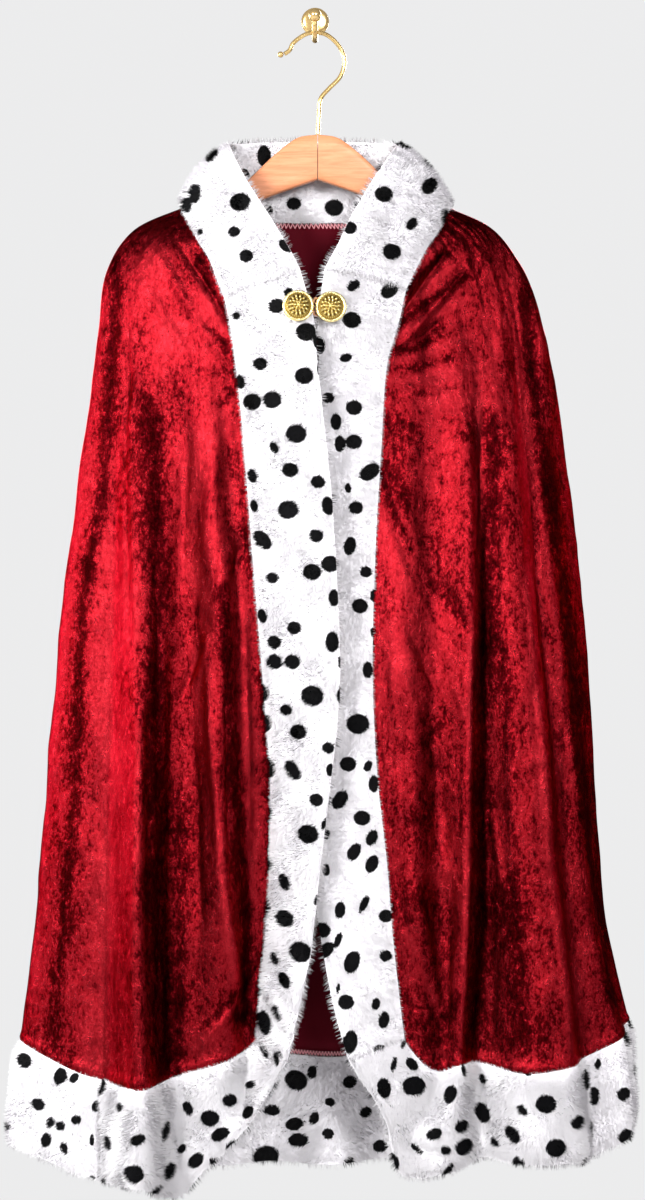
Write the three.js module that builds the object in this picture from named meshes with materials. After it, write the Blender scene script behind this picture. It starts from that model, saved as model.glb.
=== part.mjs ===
// King costume cape on its hanger and wall hook. Millimetres, +Z up, X to the right as seen from the
// front, front facing -Y. The origin is the middle of the flat back of the wall hook's rose, and the
// whole cape hangs in front of the wall plane y = 0.
import * as THREE from "three";

const SEAM_GAP = 0.3;
const VELVET_WALL = 1.6;
const VELVET_END_GAP = 0.9; // the velvet stops this far short of the fur seams above and below
const CORNER_END_GAP = 2.6; // and this far at the front corners, where three pieces meet
const CORNER_DROP = 3; // the velvet's upper front corner stays clear of collar and band alike
const CORNER_SIDE = 2.5;
const FUR_THICK = 11; // folded double: backing, pile outside and pile inside
const FUR_SEAM_THICK = 2.4; // the pile parts where the fur is sewn to the velvet
const FUR_EDGE_THICK = 4; // half round at the folded free edge
const COLLAR_THICK = 11;
const BAND_THICK = 10;

const CHEST_Z = -262;
const WAIST_Z = -480;
const KNEE_Z = -720;

const COLUMNS_PER_FOLD = 3;
const FRONT_COLUMNS_PER_FOLD = 4;

const MATERIALS = {
  velvet: { color: 0xa8101f, roughness: 0.45, metalness: 0.2 },
  fur: { color: 0xf6f2f6, roughness: 0.9, metalness: 0 },
  brass: { color: 0xe0bb52, roughness: 0.25, metalness: 1 },
  wood: { color: 0xe9ad72, roughness: 0.5, metalness: 0 },
};

const group = new THREE.Group();
group.name = "king_cape";

function addMesh(name, geometry, material) {
  const mesh = new THREE.Mesh(geometry, new THREE.MeshStandardMaterial(MATERIALS[material]));
  mesh.name = name;
  group.add(mesh);
  return mesh;
}

const vec = (p) => new THREE.Vector3(p[0], p[1], p[2]);
const mix = (a, b, s) => a + (b - a) * s;

// One row for each fold line of the cloth, going round the cape from the left front band, over the
// left side, behind and back to the right front band. top = free edge of the collar, neck = seam of
// collar and velvet, chest, waist and knee = place across and forward at those heights, hem = seam of
// velvet and fur, foot = lower edge of the fur.
const LEFT_FOLDS = [
  { name: "band", top: [-12, -92, -216], neck: [-72, -70, -239], chest: [-67, -73], waist: [-46, -84], knee: [-37, -80], hem: [-46, -86, -835], foot: [-22, -118, -844] },
  { name: "bandValley", top: [-22, -89, -197], neck: [-81, -64, -216], chest: [-78, -69], waist: [-60, -84], knee: [-52, -86], hem: [-55, -90, -839], foot: [-55, -110, -899] },
  { name: "bandRidge", top: [-33, -84, -178], neck: [-87, -58, -202], chest: [-93, -66], waist: [-74, -98], knee: [-70, -112], hem: [-71, -108, -846], foot: [-81, -108, -925] },
  { name: "deepValley", top: [-46, -76, -157], neck: [-95, -52, -188], chest: [-116, -60], waist: [-103, -76], knee: [-106, -92], hem: [-113, -98, -860], foot: [-108, -104, -952] },
  { name: "pipe", top: [-56, -68, -140], neck: [-101, -44, -174], chest: [-142, -54], waist: [-141, -90], knee: [-139, -122], hem: [-136, -134, -864], foot: [-136, -136, -940] },
  { name: "sideSeam", top: [-65, -58, -122], neck: [-105, -37, -166], chest: [-157, -47], waist: [-164, -66], knee: [-167, -84], hem: [-169, -90, -863], foot: [-169, -92, -943] },
  { name: "sideRidge", top: [-69, -43, -111], neck: [-107, -33, -161], chest: [-169, -40], waist: [-182, -62], knee: [-185, -80], hem: [-188, -88, -858], foot: [-195, -88, -936] },
  { name: "silhouette", top: [-69, -33, -108], neck: [-108, -29, -159], chest: [-177, -32], waist: [-204, -45], knee: [-225, -52], hem: [-238, -54, -837], foot: [-247, -54, -920] },
];

const RIGHT_FOLDS = [
  { name: "silhouette", top: [67, -33, -108], neck: [108, -28, -158], chest: [188, -29], waist: [219, -27], knee: [235, -30], hem: [256, -30, -825], foot: [258, -30, -908] },
  { name: "dimple", top: [66, -43, -111], neck: [110, -30, -159], chest: [184, -33], waist: [209, -41], knee: [228, -48], hem: [250, -48, -827], foot: [254, -48, -910] },
  { name: "sideRidge", top: [62, -52, -117], neck: [110, -33, -161], chest: [171, -38], waist: [195, -57], knee: [221, -68], hem: [247, -70, -833], foot: [252, -70, -914] },
  { name: "sideSeam", top: [58, -60, -124], neck: [108, -36, -163], chest: [162, -42], waist: [180, -62], knee: [201, -77], hem: [214, -84, -847], foot: [218, -86, -926] },
  { name: "outerPipe", top: [54, -65, -130], neck: [106, -39, -166], chest: [153, -46], waist: [170, -80], knee: [189, -102], hem: [203, -114, -849], foot: [205, -116, -924] },
  { name: "pipe", top: [49, -69, -138], neck: [104, -43, -172], chest: [142, -50], waist: [155, -84], knee: [163, -105], hem: [168, -116, -854], foot: [169, -118, -925] },
  { name: "seamValley", top: [44, -73, -147], neck: [101, -46, -178], chest: [131, -53], waist: [138, -78], knee: [137, -87], hem: [130, -91, -849], foot: [134, -94, -923] },
  { name: "seamRidge", top: [37, -77, -159], neck: [97, -50, -185], chest: [117, -57], waist: [126, -96], knee: [121, -110], hem: [115, -111, -848], foot: [102, -110, -934] },
  { name: "dragValley", top: [30, -81, -171], neck: [91, -56, -194], chest: [95, -63], waist: [96, -86], knee: [100, -97], hem: [102, -104, -854], foot: [68, -106, -934] },
  { name: "bandRidge", top: [20, -86, -193], neck: [83, -63, -210], chest: [78, -69], waist: [69, -95], knee: [79, -110], hem: [88, -109, -849], foot: [55, -112, -890] },
  { name: "band", top: [8, -92, -216], neck: [73, -70, -231], chest: [66, -74], waist: [48, -86], knee: [60, -99], hem: [71, -104, -830], foot: [26, -117, -842] },
];

// Behind, the folds start from nothing at the neck. across = share of the way from the left side to
// the right one, forward = how far each line stands off the wall at the hem.
const BACK_FOLDS = [
  { across: 0.055, forward: 26 },
  { across: 0.15, forward: 46 },
  { across: 0.24, forward: 18 },
  { across: 0.325, forward: 40 },
  { across: 0.42, forward: 19 },
  { across: 0.515, forward: 37 },
  { across: 0.6, forward: 17 },
  { across: 0.69, forward: 43 },
  { across: 0.79, forward: 20 },
  { across: 0.885, forward: 36 },
  { across: 0.945, forward: 24 },
];

// The back line of the neck seam and of the collar's top edge are flat ovals behind the hanger.
function backFold({ across, forward }) {
  const left = LEFT_FOLDS.at(-1);
  const right = RIGHT_FOLDS[0];
  const side = 2 * across - 1;
  const arc = Math.sign(side) * Math.abs(side) ** 0.85;
  const rise = (1 - side * side) ** 0.7;
  const stand = (share) => -12 - (forward - 12) * share;
  const width = (key) => mix(left[key][0], right[key][0], across);
  return {
    name: "back",
    top: [67 * arc - 1, -33 + 20.5 * rise, -108 + 6 * rise],
    neck: [108 * arc, -28.5 + 17 * rise, -158.5 - 10.5 * rise],
    chest: [width("chest"), stand(0.15) - 8 * side ** 6],
    waist: [width("waist"), stand(0.35) - 6 * side ** 6],
    knee: [width("knee"), stand(0.72) - 4 * side ** 6],
    hem: [width("hem"), -forward, mix(-840, -832, across) - 18 * rise],
    foot: [width("foot"), -forward, mix(-924, -914, across) - 23 * rise],
  };
}

const folds = [...LEFT_FOLDS, ...BACK_FOLDS.map(backFold), ...RIGHT_FOLDS];
const LAST = folds.length - 1;
const LEFT_SEAM = LEFT_FOLDS.findIndex((f) => f.name === "sideSeam");
const RIGHT_SEAM = LAST - (RIGHT_FOLDS.length - 1 - RIGHT_FOLDS.findIndex((f) => f.name === "sideSeam"));

// The front bands: seam = where the fur meets the velvet, edge = its free folded edge. The left band
// laps over the right one from the clasp down to the knee, and below that the two part.
const BAND_LINES = [
  { z: -262, leftSeam: [-67, -73], leftEdge: [0, -102], rightSeam: [66, -74], rightEdge: [2, -89] },
  { z: -290, leftSeam: [-63, -76], leftEdge: [2, -105], rightSeam: [58, -77], rightEdge: [3, -85] },
  { z: -360, leftSeam: [-56, -80], leftEdge: [10, -108], rightSeam: [53, -81], rightEdge: [-8, -86] },
  { z: -449, leftSeam: [-49, -84], leftEdge: [17, -111], rightSeam: [48, -86], rightEdge: [-12, -88] },
  { z: -544, leftSeam: [-41, -84], leftEdge: [20, -114], rightSeam: [46, -90], rightEdge: [-13, -90] },
  { z: -624, leftSeam: [-35, -80], leftEdge: [13, -116], rightSeam: [50, -94], rightEdge: [-9, -92] },
  { z: -687, leftSeam: [-35, -79], leftEdge: [5, -118], rightSeam: [57, -98], rightEdge: [-3, -96] },
  { z: -750, leftSeam: [-39, -80], leftEdge: [-2, -120], rightSeam: [62, -102], rightEdge: [5, -104] },
  { z: -797, leftSeam: [-43, -84], leftEdge: [-11, -120], rightSeam: [67, -104], rightEdge: [14, -112] },
];

// A smooth line through points, read by a number that counts the points from 0.
function lineThrough(points) {
  const curve = new THREE.CatmullRomCurve3(points, false, "centripetal");
  return (index) => curve.getPoint(Math.min(Math.max(index / (points.length - 1), 0), 1));
}

// Stations down each fold line.
const NECK = 0;
const CHEST = 3;
const WAIST = 4;
const HIP = 5;
const HEM = 8;
const HIP_Z = -600;
const SHIN_Z = -780;

// Over the shoulder a line leaves the neck nearly level, turns at the hanger's tip and falls; the
// right shoulder slopes more than the left one.
const TURN_LEFT = { out: 0.04, fall: 0.15 };
const TURN_RIGHT = { out: -0.24, fall: 0.08 };
function shoulder(neck, chest, share) {
  const reach = chest[0] - neck[0];
  const turn = reach > 0 ? TURN_RIGHT : TURN_LEFT;
  const corner = [
    chest[0] + turn.out * reach,
    mix(neck[1], chest[1], 0.65),
    neck[2] - 4 - turn.fall * Math.abs(reach),
  ];
  const weights = [(1 - share) ** 2, 1.9 * share * (1 - share), share ** 2];
  const sum = weights[0] + weights[1] + weights[2];
  return [0, 1, 2].map((k) => (weights[0] * neck[k] + weights[1] * corner[k] + weights[2] * chest[k]) / sum);
}

function stationPoints(fold) {
  const chest = [...fold.chest, CHEST_Z];
  const points = [
    fold.neck,
    shoulder(fold.neck, chest, 0.36),
    shoulder(fold.neck, chest, 0.68),
    chest,
    [...fold.waist, WAIST_Z],
    [mix(fold.waist[0], fold.knee[0], 0.54), mix(fold.waist[1], fold.knee[1], 0.54), HIP_Z],
    [...fold.knee, KNEE_Z],
    [mix(fold.knee[0], fold.hem[0], 0.45), mix(fold.knee[1], fold.hem[1], 0.45), SHIN_Z],
    fold.hem,
  ].map(vec);
  const outward = vec(fold.neck).sub(vec(fold.top)).normalize();
  const gap = fold.name.startsWith("band") ? CORNER_END_GAP : VELVET_END_GAP;
  for (let k = NECK; k < CHEST; k++) points[k].addScaledVector(outward, gap * (1 - k / CHEST));
  points[HEM].addScaledVector(vec(fold.hem).sub(vec(fold.foot)).normalize(), Math.min(gap, 1.6));
  return points;
}

// The line of a seam or edge of a front band, from the collar's end to the mitre of the hem fur.
function bandLine(key, first, last) {
  return lineThrough([first, ...BAND_LINES.map((row) => [...row[key], row.z]), last].map(vec));
}
const leftSeamLine = bandLine("leftSeam", LEFT_FOLDS[0].neck, LEFT_FOLDS[0].hem);
const rightSeamLine = bandLine("rightSeam", RIGHT_FOLDS.at(-1).neck, RIGHT_FOLDS.at(-1).hem);

// The same line read by height: z falls all the way, so halving finds the place.
function byHeight(line) {
  return (z) => {
    let low = 0;
    let high = BAND_LINES.length + 1;
    for (let turn = 0; turn < 30; turn++) {
      const middle = (low + high) / 2;
      if (line(middle).z > z) low = middle;
      else high = middle;
    }
    return line((low + high) / 2);
  };
}

const foldLines = folds.map((fold) => lineThrough(stationPoints(fold)));
for (const [index, seamLine] of [[0, leftSeamLine], [LAST, rightSeamLine]]) {
  const plain = foldLines[index];
  const atHeight = byHeight(seamLine);
  const outward = index === 0 ? -1 : 1;
  foldLines[index] = (t) => {
    const corner = Math.max(0, 1 - t);
    const point = atHeight(plain(t).z - CORNER_DROP * corner);
    point.x += outward * CORNER_SIDE * corner;
    return point;
  };
}
const acrossCache = new Map();

// The velvet's middle surface: u counts fold lines, t counts stations from neck to hem.
function velvetPoint(u, t) {
  const key = t.toFixed(5);
  if (!acrossCache.has(key)) acrossCache.set(key, lineThrough(foldLines.map((line) => line(t))));
  return acrossCache.get(key)(u);
}

// The hem fur goes on down from the velvet, bulging a little outwards: v = 0 at the seam, 1 at the foot.
const hemLine = lineThrough(folds.map((f) => vec(f.hem)));
const footLine = lineThrough(folds.map((f) => vec(f.foot)));
function hemFurPoint(u, v) {
  return hemLine(u).lerp(footLine(u), v);
}

// The collar stands on the neck seam and leans in towards its free top edge.
const neckLine = lineThrough(folds.map((f) => vec(f.neck)));
const topLine = lineThrough(folds.map((f) => vec(f.top)));
const COLLAR_BULGE = 7;
function collarPoint(u, v) {
  const low = neckLine(u);
  const high = topLine(u);
  const out = new THREE.Vector3((low.x + high.x) / 2, (low.y + high.y) / 2 + 45, 0);
  out.y = Math.min(out.y, 0);
  out.normalize();
  const backness = THREE.MathUtils.smoothstep(Math.abs(low.x), 80, 104);
  return low.lerp(high, v).addScaledVector(out, COLLAR_BULGE * Math.sin(Math.PI * v) * backness);
}

// A front band between its seam and its free edge: s counts rows of BAND_LINES, with the collar's end
// above the first and the mitre to the hem fur below the last.
function bandSurface(foldRow, seam, edgeKey, bulge) {
  const edge = bandLine(edgeKey, foldRow.top, foldRow.foot);
  const end = BAND_LINES.length + 1;
  return (s, v) => {
    const p = seam(s).lerp(edge(s), v);
    const window = Math.min(1, Math.max(s, 0), Math.max(end - s, 0));
    p.y -= bulge * Math.sin(Math.PI * v) * window;
    return p;
  };
}

function unitNormal(surface, a, b) {
  const step = 0.02;
  const da = surface(a + step, b).sub(surface(a - step, b));
  const db = surface(a, b + step).sub(surface(a, b - step));
  return da.cross(db).normalize();
}

// Where two strips meet end to end, both ends lean the same way: halfway between their normals.
function sharedNormal(one, a, other, c) {
  return (b) => {
    const first = unitNormal(one, a, b);
    const second = unitNormal(other, c, b);
    if (first.dot(second) < 0) second.negate();
    return first.add(second).normalize();
  };
}

// A closed wall round a middle surface. half(a, b) gives half its thickness there, and ends may hold
// the shared normals of its first and last row.
function wallGeometry(surface, aValues, bValues, half, ends = {}) {
  const rows = aValues.length;
  const cols = bValues.length;
  const normalAt = (i, b) => {
    const own = unitNormal(surface, aValues[i], b);
    const shared = (i === 0 && ends.first) || (i === rows - 1 && ends.last);
    if (!shared) return own;
    const joint = shared(b);
    return joint.dot(own) < 0 ? joint.negate() : joint;
  };
  const positions = [];
  for (const side of [1, -1]) {
    aValues.forEach((a, i) => {
      for (const b of bValues) {
        const p = surface(a, b).addScaledVector(normalAt(i, b), side * half(a, b));
        positions.push(p.x, p.y, p.z);
      }
    });
  }
  const at = (side, i, j) => side * rows * cols + i * cols + j;
  const faces = [];
  const quad = (p, q, r, s) => faces.push(p, q, r, p, r, s);
  for (let i = 0; i < rows - 1; i++) {
    for (let j = 0; j < cols - 1; j++) {
      quad(at(0, i, j), at(0, i + 1, j), at(0, i + 1, j + 1), at(0, i, j + 1));
      quad(at(1, i, j), at(1, i, j + 1), at(1, i + 1, j + 1), at(1, i + 1, j));
    }
  }
  for (let i = 0; i < rows - 1; i++) {
    quad(at(0, i, 0), at(1, i, 0), at(1, i + 1, 0), at(0, i + 1, 0));
    quad(at(0, i, cols - 1), at(0, i + 1, cols - 1), at(1, i + 1, cols - 1), at(1, i, cols - 1));
  }
  for (let j = 0; j < cols - 1; j++) {
    quad(at(0, 0, j), at(0, 0, j + 1), at(1, 0, j + 1), at(1, 0, j));
    quad(at(0, rows - 1, j), at(1, rows - 1, j), at(1, rows - 1, j + 1), at(0, rows - 1, j + 1));
  }
  return closedGeometry(positions, faces);
}

function closedGeometry(positions, faces) {
  let volume = 0;
  const corner = (i) => new THREE.Vector3(positions[3 * i], positions[3 * i + 1], positions[3 * i + 2]);
  for (let i = 0; i < faces.length; i += 3) {
    volume += corner(faces[i]).dot(corner(faces[i + 1]).cross(corner(faces[i + 2])));
  }
  if (volume < 0) {
    for (let i = 0; i < faces.length; i += 3) {
      [faces[i + 1], faces[i + 2]] = [faces[i + 2], faces[i + 1]];
    }
  }
  const geometry = new THREE.BufferGeometry();
  geometry.setAttribute("position", new THREE.Float32BufferAttribute(positions, 3));
  geometry.setIndex(faces);
  return geometry;
}

function steps(from, to, count) {
  return Array.from({ length: count + 1 }, (_, i) => mix(from, to, i / count));
}

// The same surface with its first and last column moved in by a gap in millimetres.
function inset(surface, first, last, firstGap, lastGap) {
  const probe = 0.04;
  const shift = (a, b, sign, gap) => (sign * gap * probe) / surface(a + sign * probe, b).distanceTo(surface(a, b));
  return (a, b) => {
    if (Math.abs(a - first) < 0.03) return surface(a + shift(first, b, 1, firstGap), b);
    if (Math.abs(a - last) < 0.03) return surface(a + shift(last, b, -1, lastGap), b);
    return surface(a, b);
  };
}

const VELVET_ROWS = [
  ...steps(NECK, CHEST, 6).slice(0, -1),
  ...steps(CHEST, WAIST, 3).slice(0, -1),
  ...steps(WAIST, HIP, 2).slice(0, -1),
  ...steps(HIP, HEM, 5),
];

function velvetPanel(name, from, to, perFold, startGap, endGap) {
  const columns = steps(from, to, Math.round((to - from) * perFold));
  const surface = inset(velvetPoint, from, to, startGap, endGap);
  addMesh(name, wallGeometry(surface, columns, VELVET_ROWS, () => VELVET_WALL / 2), "velvet");
}

// How the fur's thickness goes across a strip: thin at the seam, full between, half round at the fold.
const FUR_ACROSS = [0.006, 0.07, 0.18, 0.5, 0.82, 0.95, 1];
function furHalf(v, thick) {
  const rising = THREE.MathUtils.smoothstep(v, -0.04, 0.16);
  const round = Math.sqrt(Math.max(1 - Math.max(v - 0.82, 0) ** 2 / 0.18 ** 2, 0));
  return mix(FUR_SEAM_THICK, thick, rising) / 2 * Math.max(round, FUR_EDGE_THICK / thick);
}

function hemPanel(name, from, to, perFold, startGap, endGap, ends) {
  const columns = steps(from, to, Math.round((to - from) * perFold));
  const surface = inset(hemFurPoint, from, to, startGap, endGap);
  addMesh(name, wallGeometry(surface, columns, FUR_ACROSS, (u, v) => furHalf(v, FUR_THICK), ends), "fur");
}

const SIDE_GAP = SEAM_GAP / 2;
const BAND_GAP = 2.3; // the velvet meets the thicker fur at an angle
const JOINT_GAP = 0.25;
velvetPanel("velvet_front_left", 0, LEFT_SEAM, FRONT_COLUMNS_PER_FOLD, BAND_GAP, SIDE_GAP);
velvetPanel("velvet_back", LEFT_SEAM, RIGHT_SEAM, COLUMNS_PER_FOLD, SIDE_GAP, SIDE_GAP);
velvetPanel("velvet_front_right", RIGHT_SEAM, LAST, COLUMNS_PER_FOLD, SIDE_GAP, BAND_GAP);

const BAND_END = BAND_LINES.length + 1;
const leftBand = bandSurface(LEFT_FOLDS[0], leftSeamLine, "leftEdge", 4);
const rightBand = bandSurface(RIGHT_FOLDS.at(-1), rightSeamLine, "rightEdge", 2);
const leftClasp = sharedNormal(collarPoint, 0, leftBand, 0);
const rightClasp = sharedNormal(collarPoint, LAST, rightBand, 0);
const leftMitre = sharedNormal(leftBand, BAND_END, hemFurPoint, 0);
const rightMitre = sharedNormal(rightBand, BAND_END, hemFurPoint, LAST);

hemPanel("fur_hem_left", 0, LEFT_SEAM, FRONT_COLUMNS_PER_FOLD, JOINT_GAP, SIDE_GAP, { first: leftMitre });
hemPanel("fur_hem_back", LEFT_SEAM, RIGHT_SEAM, COLUMNS_PER_FOLD, SIDE_GAP, SIDE_GAP, {});
hemPanel("fur_hem_right", RIGHT_SEAM, LAST, COLUMNS_PER_FOLD, SIDE_GAP, JOINT_GAP, { last: rightMitre });

const COLLAR_COLUMNS = 44;
addMesh(
  "fur_collar",
  wallGeometry(
    inset(collarPoint, 0, LAST, JOINT_GAP, JOINT_GAP),
    steps(0, LAST, COLLAR_COLUMNS),
    FUR_ACROSS,
    (u, v) => furHalf(v, COLLAR_THICK),
    { first: leftClasp, last: rightClasp },
  ),
  "fur",
);

const bandRows = steps(0, BAND_END, 2 * BAND_END);
for (const [name, surface, first, last] of [
  ["fur_band_left", leftBand, leftClasp, leftMitre],
  ["fur_band_right", rightBand, rightClasp, rightMitre],
]) {
  const moved = inset(surface, 0, BAND_END, JOINT_GAP, JOINT_GAP);
  const half = (row, v) => furHalf(v, mix(COLLAR_THICK, BAND_THICK, Math.min(row, BAND_END - row, 1)));
  addMesh(name, wallGeometry(moved, bandRows, FUR_ACROSS, half, { first, last }), "fur");
}

// A round bar swept along a smooth line, with flat closed ends.
function barGeometry(points, radius, along, around) {
  const curve = new THREE.CatmullRomCurve3(points.map(vec), false, "centripetal");
  const frames = curve.computeFrenetFrames(along, false);
  const positions = [];
  for (let i = 0; i <= along; i++) {
    const centre = curve.getPointAt(i / along);
    for (let j = 0; j < around; j++) {
      const angle = (2 * Math.PI * j) / around;
      const p = centre
        .clone()
        .addScaledVector(frames.normals[i], radius * Math.cos(angle))
        .addScaledVector(frames.binormals[i], radius * Math.sin(angle));
      positions.push(p.x, p.y, p.z);
    }
  }
  for (const end of [0, 1]) {
    const p = curve.getPointAt(end);
    positions.push(p.x, p.y, p.z);
  }
  const ring = (i, j) => i * around + (j % around);
  const firstCap = (along + 1) * around;
  const faces = [];
  for (let j = 0; j < around; j++) {
    for (let i = 0; i < along; i++) {
      faces.push(ring(i, j), ring(i + 1, j), ring(i + 1, j + 1));
      faces.push(ring(i, j), ring(i + 1, j + 1), ring(i, j + 1));
    }
    faces.push(firstCap, ring(0, j), ring(0, j + 1));
    faces.push(firstCap + 1, ring(along, j + 1), ring(along, j));
  }
  return closedGeometry(positions, faces);
}

// A solid turned round an axis from a profile of [radius, height] rows that starts and ends at radius 0.
function turnedGeometry(profile, around) {
  const positions = [];
  const rings = profile.slice(1, -1);
  for (const [radius, height] of rings) {
    for (let j = 0; j < around; j++) {
      const angle = (2 * Math.PI * j) / around;
      positions.push(radius * Math.cos(angle), radius * Math.sin(angle), height);
    }
  }
  const low = rings.length * around;
  positions.push(0, 0, profile[0][1], 0, 0, profile.at(-1)[1]);
  const ring = (i, j) => i * around + (j % around);
  const faces = [];
  for (let j = 0; j < around; j++) {
    for (let i = 0; i < rings.length - 1; i++) {
      faces.push(ring(i, j), ring(i, j + 1), ring(i + 1, j + 1));
      faces.push(ring(i, j), ring(i + 1, j + 1), ring(i + 1, j));
    }
    faces.push(low, ring(0, j + 1), ring(0, j));
    faces.push(low + 1, ring(rings.length - 1, j), ring(rings.length - 1, j + 1));
  }
  return closedGeometry(positions, faces);
}

// The clasp's buttons: a rim round a dome, lying on the bands and facing forward.
const BUTTON_RADIUS = 12.5;
const BUTTON_TILT = 0.12;
const BUTTON_PROFILE = [
  [0, 0],
  [BUTTON_RADIUS - 1.2, 0],
  [BUTTON_RADIUS, 0.8],
  [BUTTON_RADIUS, 1.8],
  [BUTTON_RADIUS - 0.8, 2.6],
  [BUTTON_RADIUS - 1.8, 2.5],
  [BUTTON_RADIUS - 4, 4.2],
  [BUTTON_RADIUS - 8, 5.5],
  [0, 6],
];
const BUTTONS = [
  { name: "clasp_button_left", x: -13.2, z: -247.4, back: -102.9, turn: 0.06 },
  { name: "clasp_button_right", x: 12.9, z: -247.8, back: -98.6, turn: -0.06 },
];
for (const { name, x, z, back, turn } of BUTTONS) {
  const geometry = turnedGeometry(BUTTON_PROFILE, 24);
  geometry.rotateX(Math.PI / 2 - BUTTON_TILT);
  geometry.rotateZ(turn);
  geometry.translate(x, back, z);
  addMesh(name, geometry, "brass");
}

// The link is a small upright loop behind the two rims, as wide as the space it bridges.
const LINK_HALF_WIDTH = 3.2;
const LINK_HALF_HEIGHT = 7;
const LINK_BAR = 0.9;
function linkGeometry(around, along) {
  const positions = [];
  const faces = [];
  for (let i = 0; i < along; i++) {
    const angle = (2 * Math.PI * i) / along;
    const centre = [LINK_HALF_WIDTH * Math.cos(angle), 0, LINK_HALF_HEIGHT * Math.sin(angle)];
    const out = new THREE.Vector3(Math.cos(angle) / LINK_HALF_WIDTH, 0, Math.sin(angle) / LINK_HALF_HEIGHT).normalize();
    for (let j = 0; j < around; j++) {
      const turn = (2 * Math.PI * j) / around;
      const reach = LINK_BAR * Math.cos(turn);
      positions.push(centre[0] + out.x * reach, LINK_BAR * Math.sin(turn), centre[2] + out.z * reach);
    }
  }
  const at = (i, j) => (i % along) * around + (j % around);
  for (let i = 0; i < along; i++) {
    for (let j = 0; j < around; j++) {
      faces.push(at(i, j), at(i + 1, j), at(i + 1, j + 1));
      faces.push(at(i, j), at(i + 1, j + 1), at(i, j + 1));
    }
  }
  return closedGeometry(positions, faces);
}
const link = linkGeometry(6, 20);
link.rotateZ(0.6); // the left button stands further forward
link.translate(1.0, -97.8, -247.6);
addMesh("clasp_link", link, "brass");

// Hanger arms: upper and lower line of the wood in the plane of the hook, and its thickness.
const HANGER_Y = -32;
const ARM_ROWS = [
  { out: 0.3, upper: -99.5, lower: -136.5, thick: 11 },
  { out: 16, upper: -102, lower: -142, thick: 11 },
  { out: 33, upper: -114, lower: -148, thick: 11 },
  { out: 50, upper: -130, lower: -155, thick: 11 },
  { out: 68, upper: -147, lower: -163, thick: 11 },
  { out: 88, upper: -160, lower: -173, thick: 11 },
  { out: 112, upper: -170.4, lower: -184, thick: 11 },
  { out: 134, upper: -179.5, lower: -194, thick: 10 },
  { out: 149, upper: -188.5, lower: -200, thick: 8 },
  { out: 155, upper: -195, lower: -200, thick: 6 },
];
const ARM_SHIFT = 2.2;
const ARM_AROUND = 12;
// Past this place the right arm is a little shorter and lower than the left one.
const ARM_BEND = 112;
function armMiddle(row, side) {
  const past = side > 0 ? Math.max(0, row.out - ARM_BEND) : 0;
  return [ARM_SHIFT + side * (row.out - 0.14 * past), HANGER_Y, (row.upper + row.lower) / 2 - 0.08 * past];
}
function armGeometry(side) {
  const positions = [];
  for (const row of ARM_ROWS) {
    const [across, forward, height] = armMiddle(row, side);
    for (let j = 0; j < ARM_AROUND; j++) {
      const angle = (2 * Math.PI * (j + 0.5)) / ARM_AROUND;
      const square = (value) => Math.sign(value) * Math.abs(value) ** 0.45;
      const tall = (row.upper - row.lower) / 2;
      positions.push(
        across,
        forward + (row.thick / 2) * square(Math.cos(angle)),
        height + tall * square(Math.sin(angle)),
      );
    }
  }
  const rings = ARM_ROWS.length;
  const ends = rings * ARM_AROUND;
  for (const row of [ARM_ROWS[0], ARM_ROWS[rings - 1]]) {
    positions.push(...armMiddle(row, side));
  }
  const ring = (i, j) => i * ARM_AROUND + (j % ARM_AROUND);
  const faces = [];
  for (let j = 0; j < ARM_AROUND; j++) {
    for (let i = 0; i < rings - 1; i++) {
      faces.push(ring(i, j), ring(i + 1, j), ring(i + 1, j + 1));
      faces.push(ring(i, j), ring(i + 1, j + 1), ring(i, j + 1));
    }
    faces.push(ends, ring(0, j), ring(0, j + 1));
    faces.push(ends + 1, ring(rings - 1, j + 1), ring(rings - 1, j));
  }
  return closedGeometry(positions, faces);
}
addMesh("hanger_arm_left", armGeometry(-1), "wood");
addMesh("hanger_arm_right", armGeometry(1), "wood");

// The wire hook: up from the wood, round to the right, over the wall hook and down to its bead.
const WIRE_RADIUS = 1.75;
const WIRE_POINTS = [
  [2.4, HANGER_Y, -99.1],
  [3.2, HANGER_Y, -84],
  [4.6, HANGER_Y, -70],
  [11.5, HANGER_Y, -61.5],
  [20.5, HANGER_Y, -52],
  [24.2, HANGER_Y, -39.5],
  [20.5, HANGER_Y, -28],
  [9.5, HANGER_Y, -17.5],
  [0, HANGER_Y, -15.6],
  [-7.5, HANGER_Y, -17],
  [-18, HANGER_Y, -24.5],
  [-20.8, HANGER_Y, -30],
  [-25, HANGER_Y, -33.2],
];
addMesh("hanger_wire", barGeometry(WIRE_POINTS, WIRE_RADIUS, 34, 8), "brass");
const bead = new THREE.SphereGeometry(2.5, 14, 9);
bead.translate(-28.2, HANGER_Y, -33.6);
addMesh("hanger_bead", bead, "brass");

// The wall hook: a rose with a flat back on the wall, a finger that dips and rises, and a ball.
const ROSE_PROFILE = [
  [0, 0],
  [11.5, 0],
  [11.5, 1.6],
  [10.2, 2.8],
  [7, 3.6],
  [0, 4],
];
const rose = turnedGeometry(ROSE_PROFILE, 36);
rose.rotateX(Math.PI / 2);
addMesh("wall_hook_rose", rose, "brass");
const FINGER_POINTS = [
  [0, -5.1, -4],
  [0, -9, -6.4],
  [0, -15, -16],
  [0, -23, -20],
  [0, -31, -20.2],
  [0, -39, -18],
  [0, -44, -13.4],
  [0, -45, -10],
];
addMesh("wall_hook_finger", barGeometry(FINGER_POINTS, 2.4, 18, 10), "brass");
const ball = new THREE.SphereGeometry(5.2, 18, 12);
ball.translate(0, -45.2, -4.2);
addMesh("wall_hook_ball", ball, "brass");

export default group;
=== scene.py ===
import math

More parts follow.
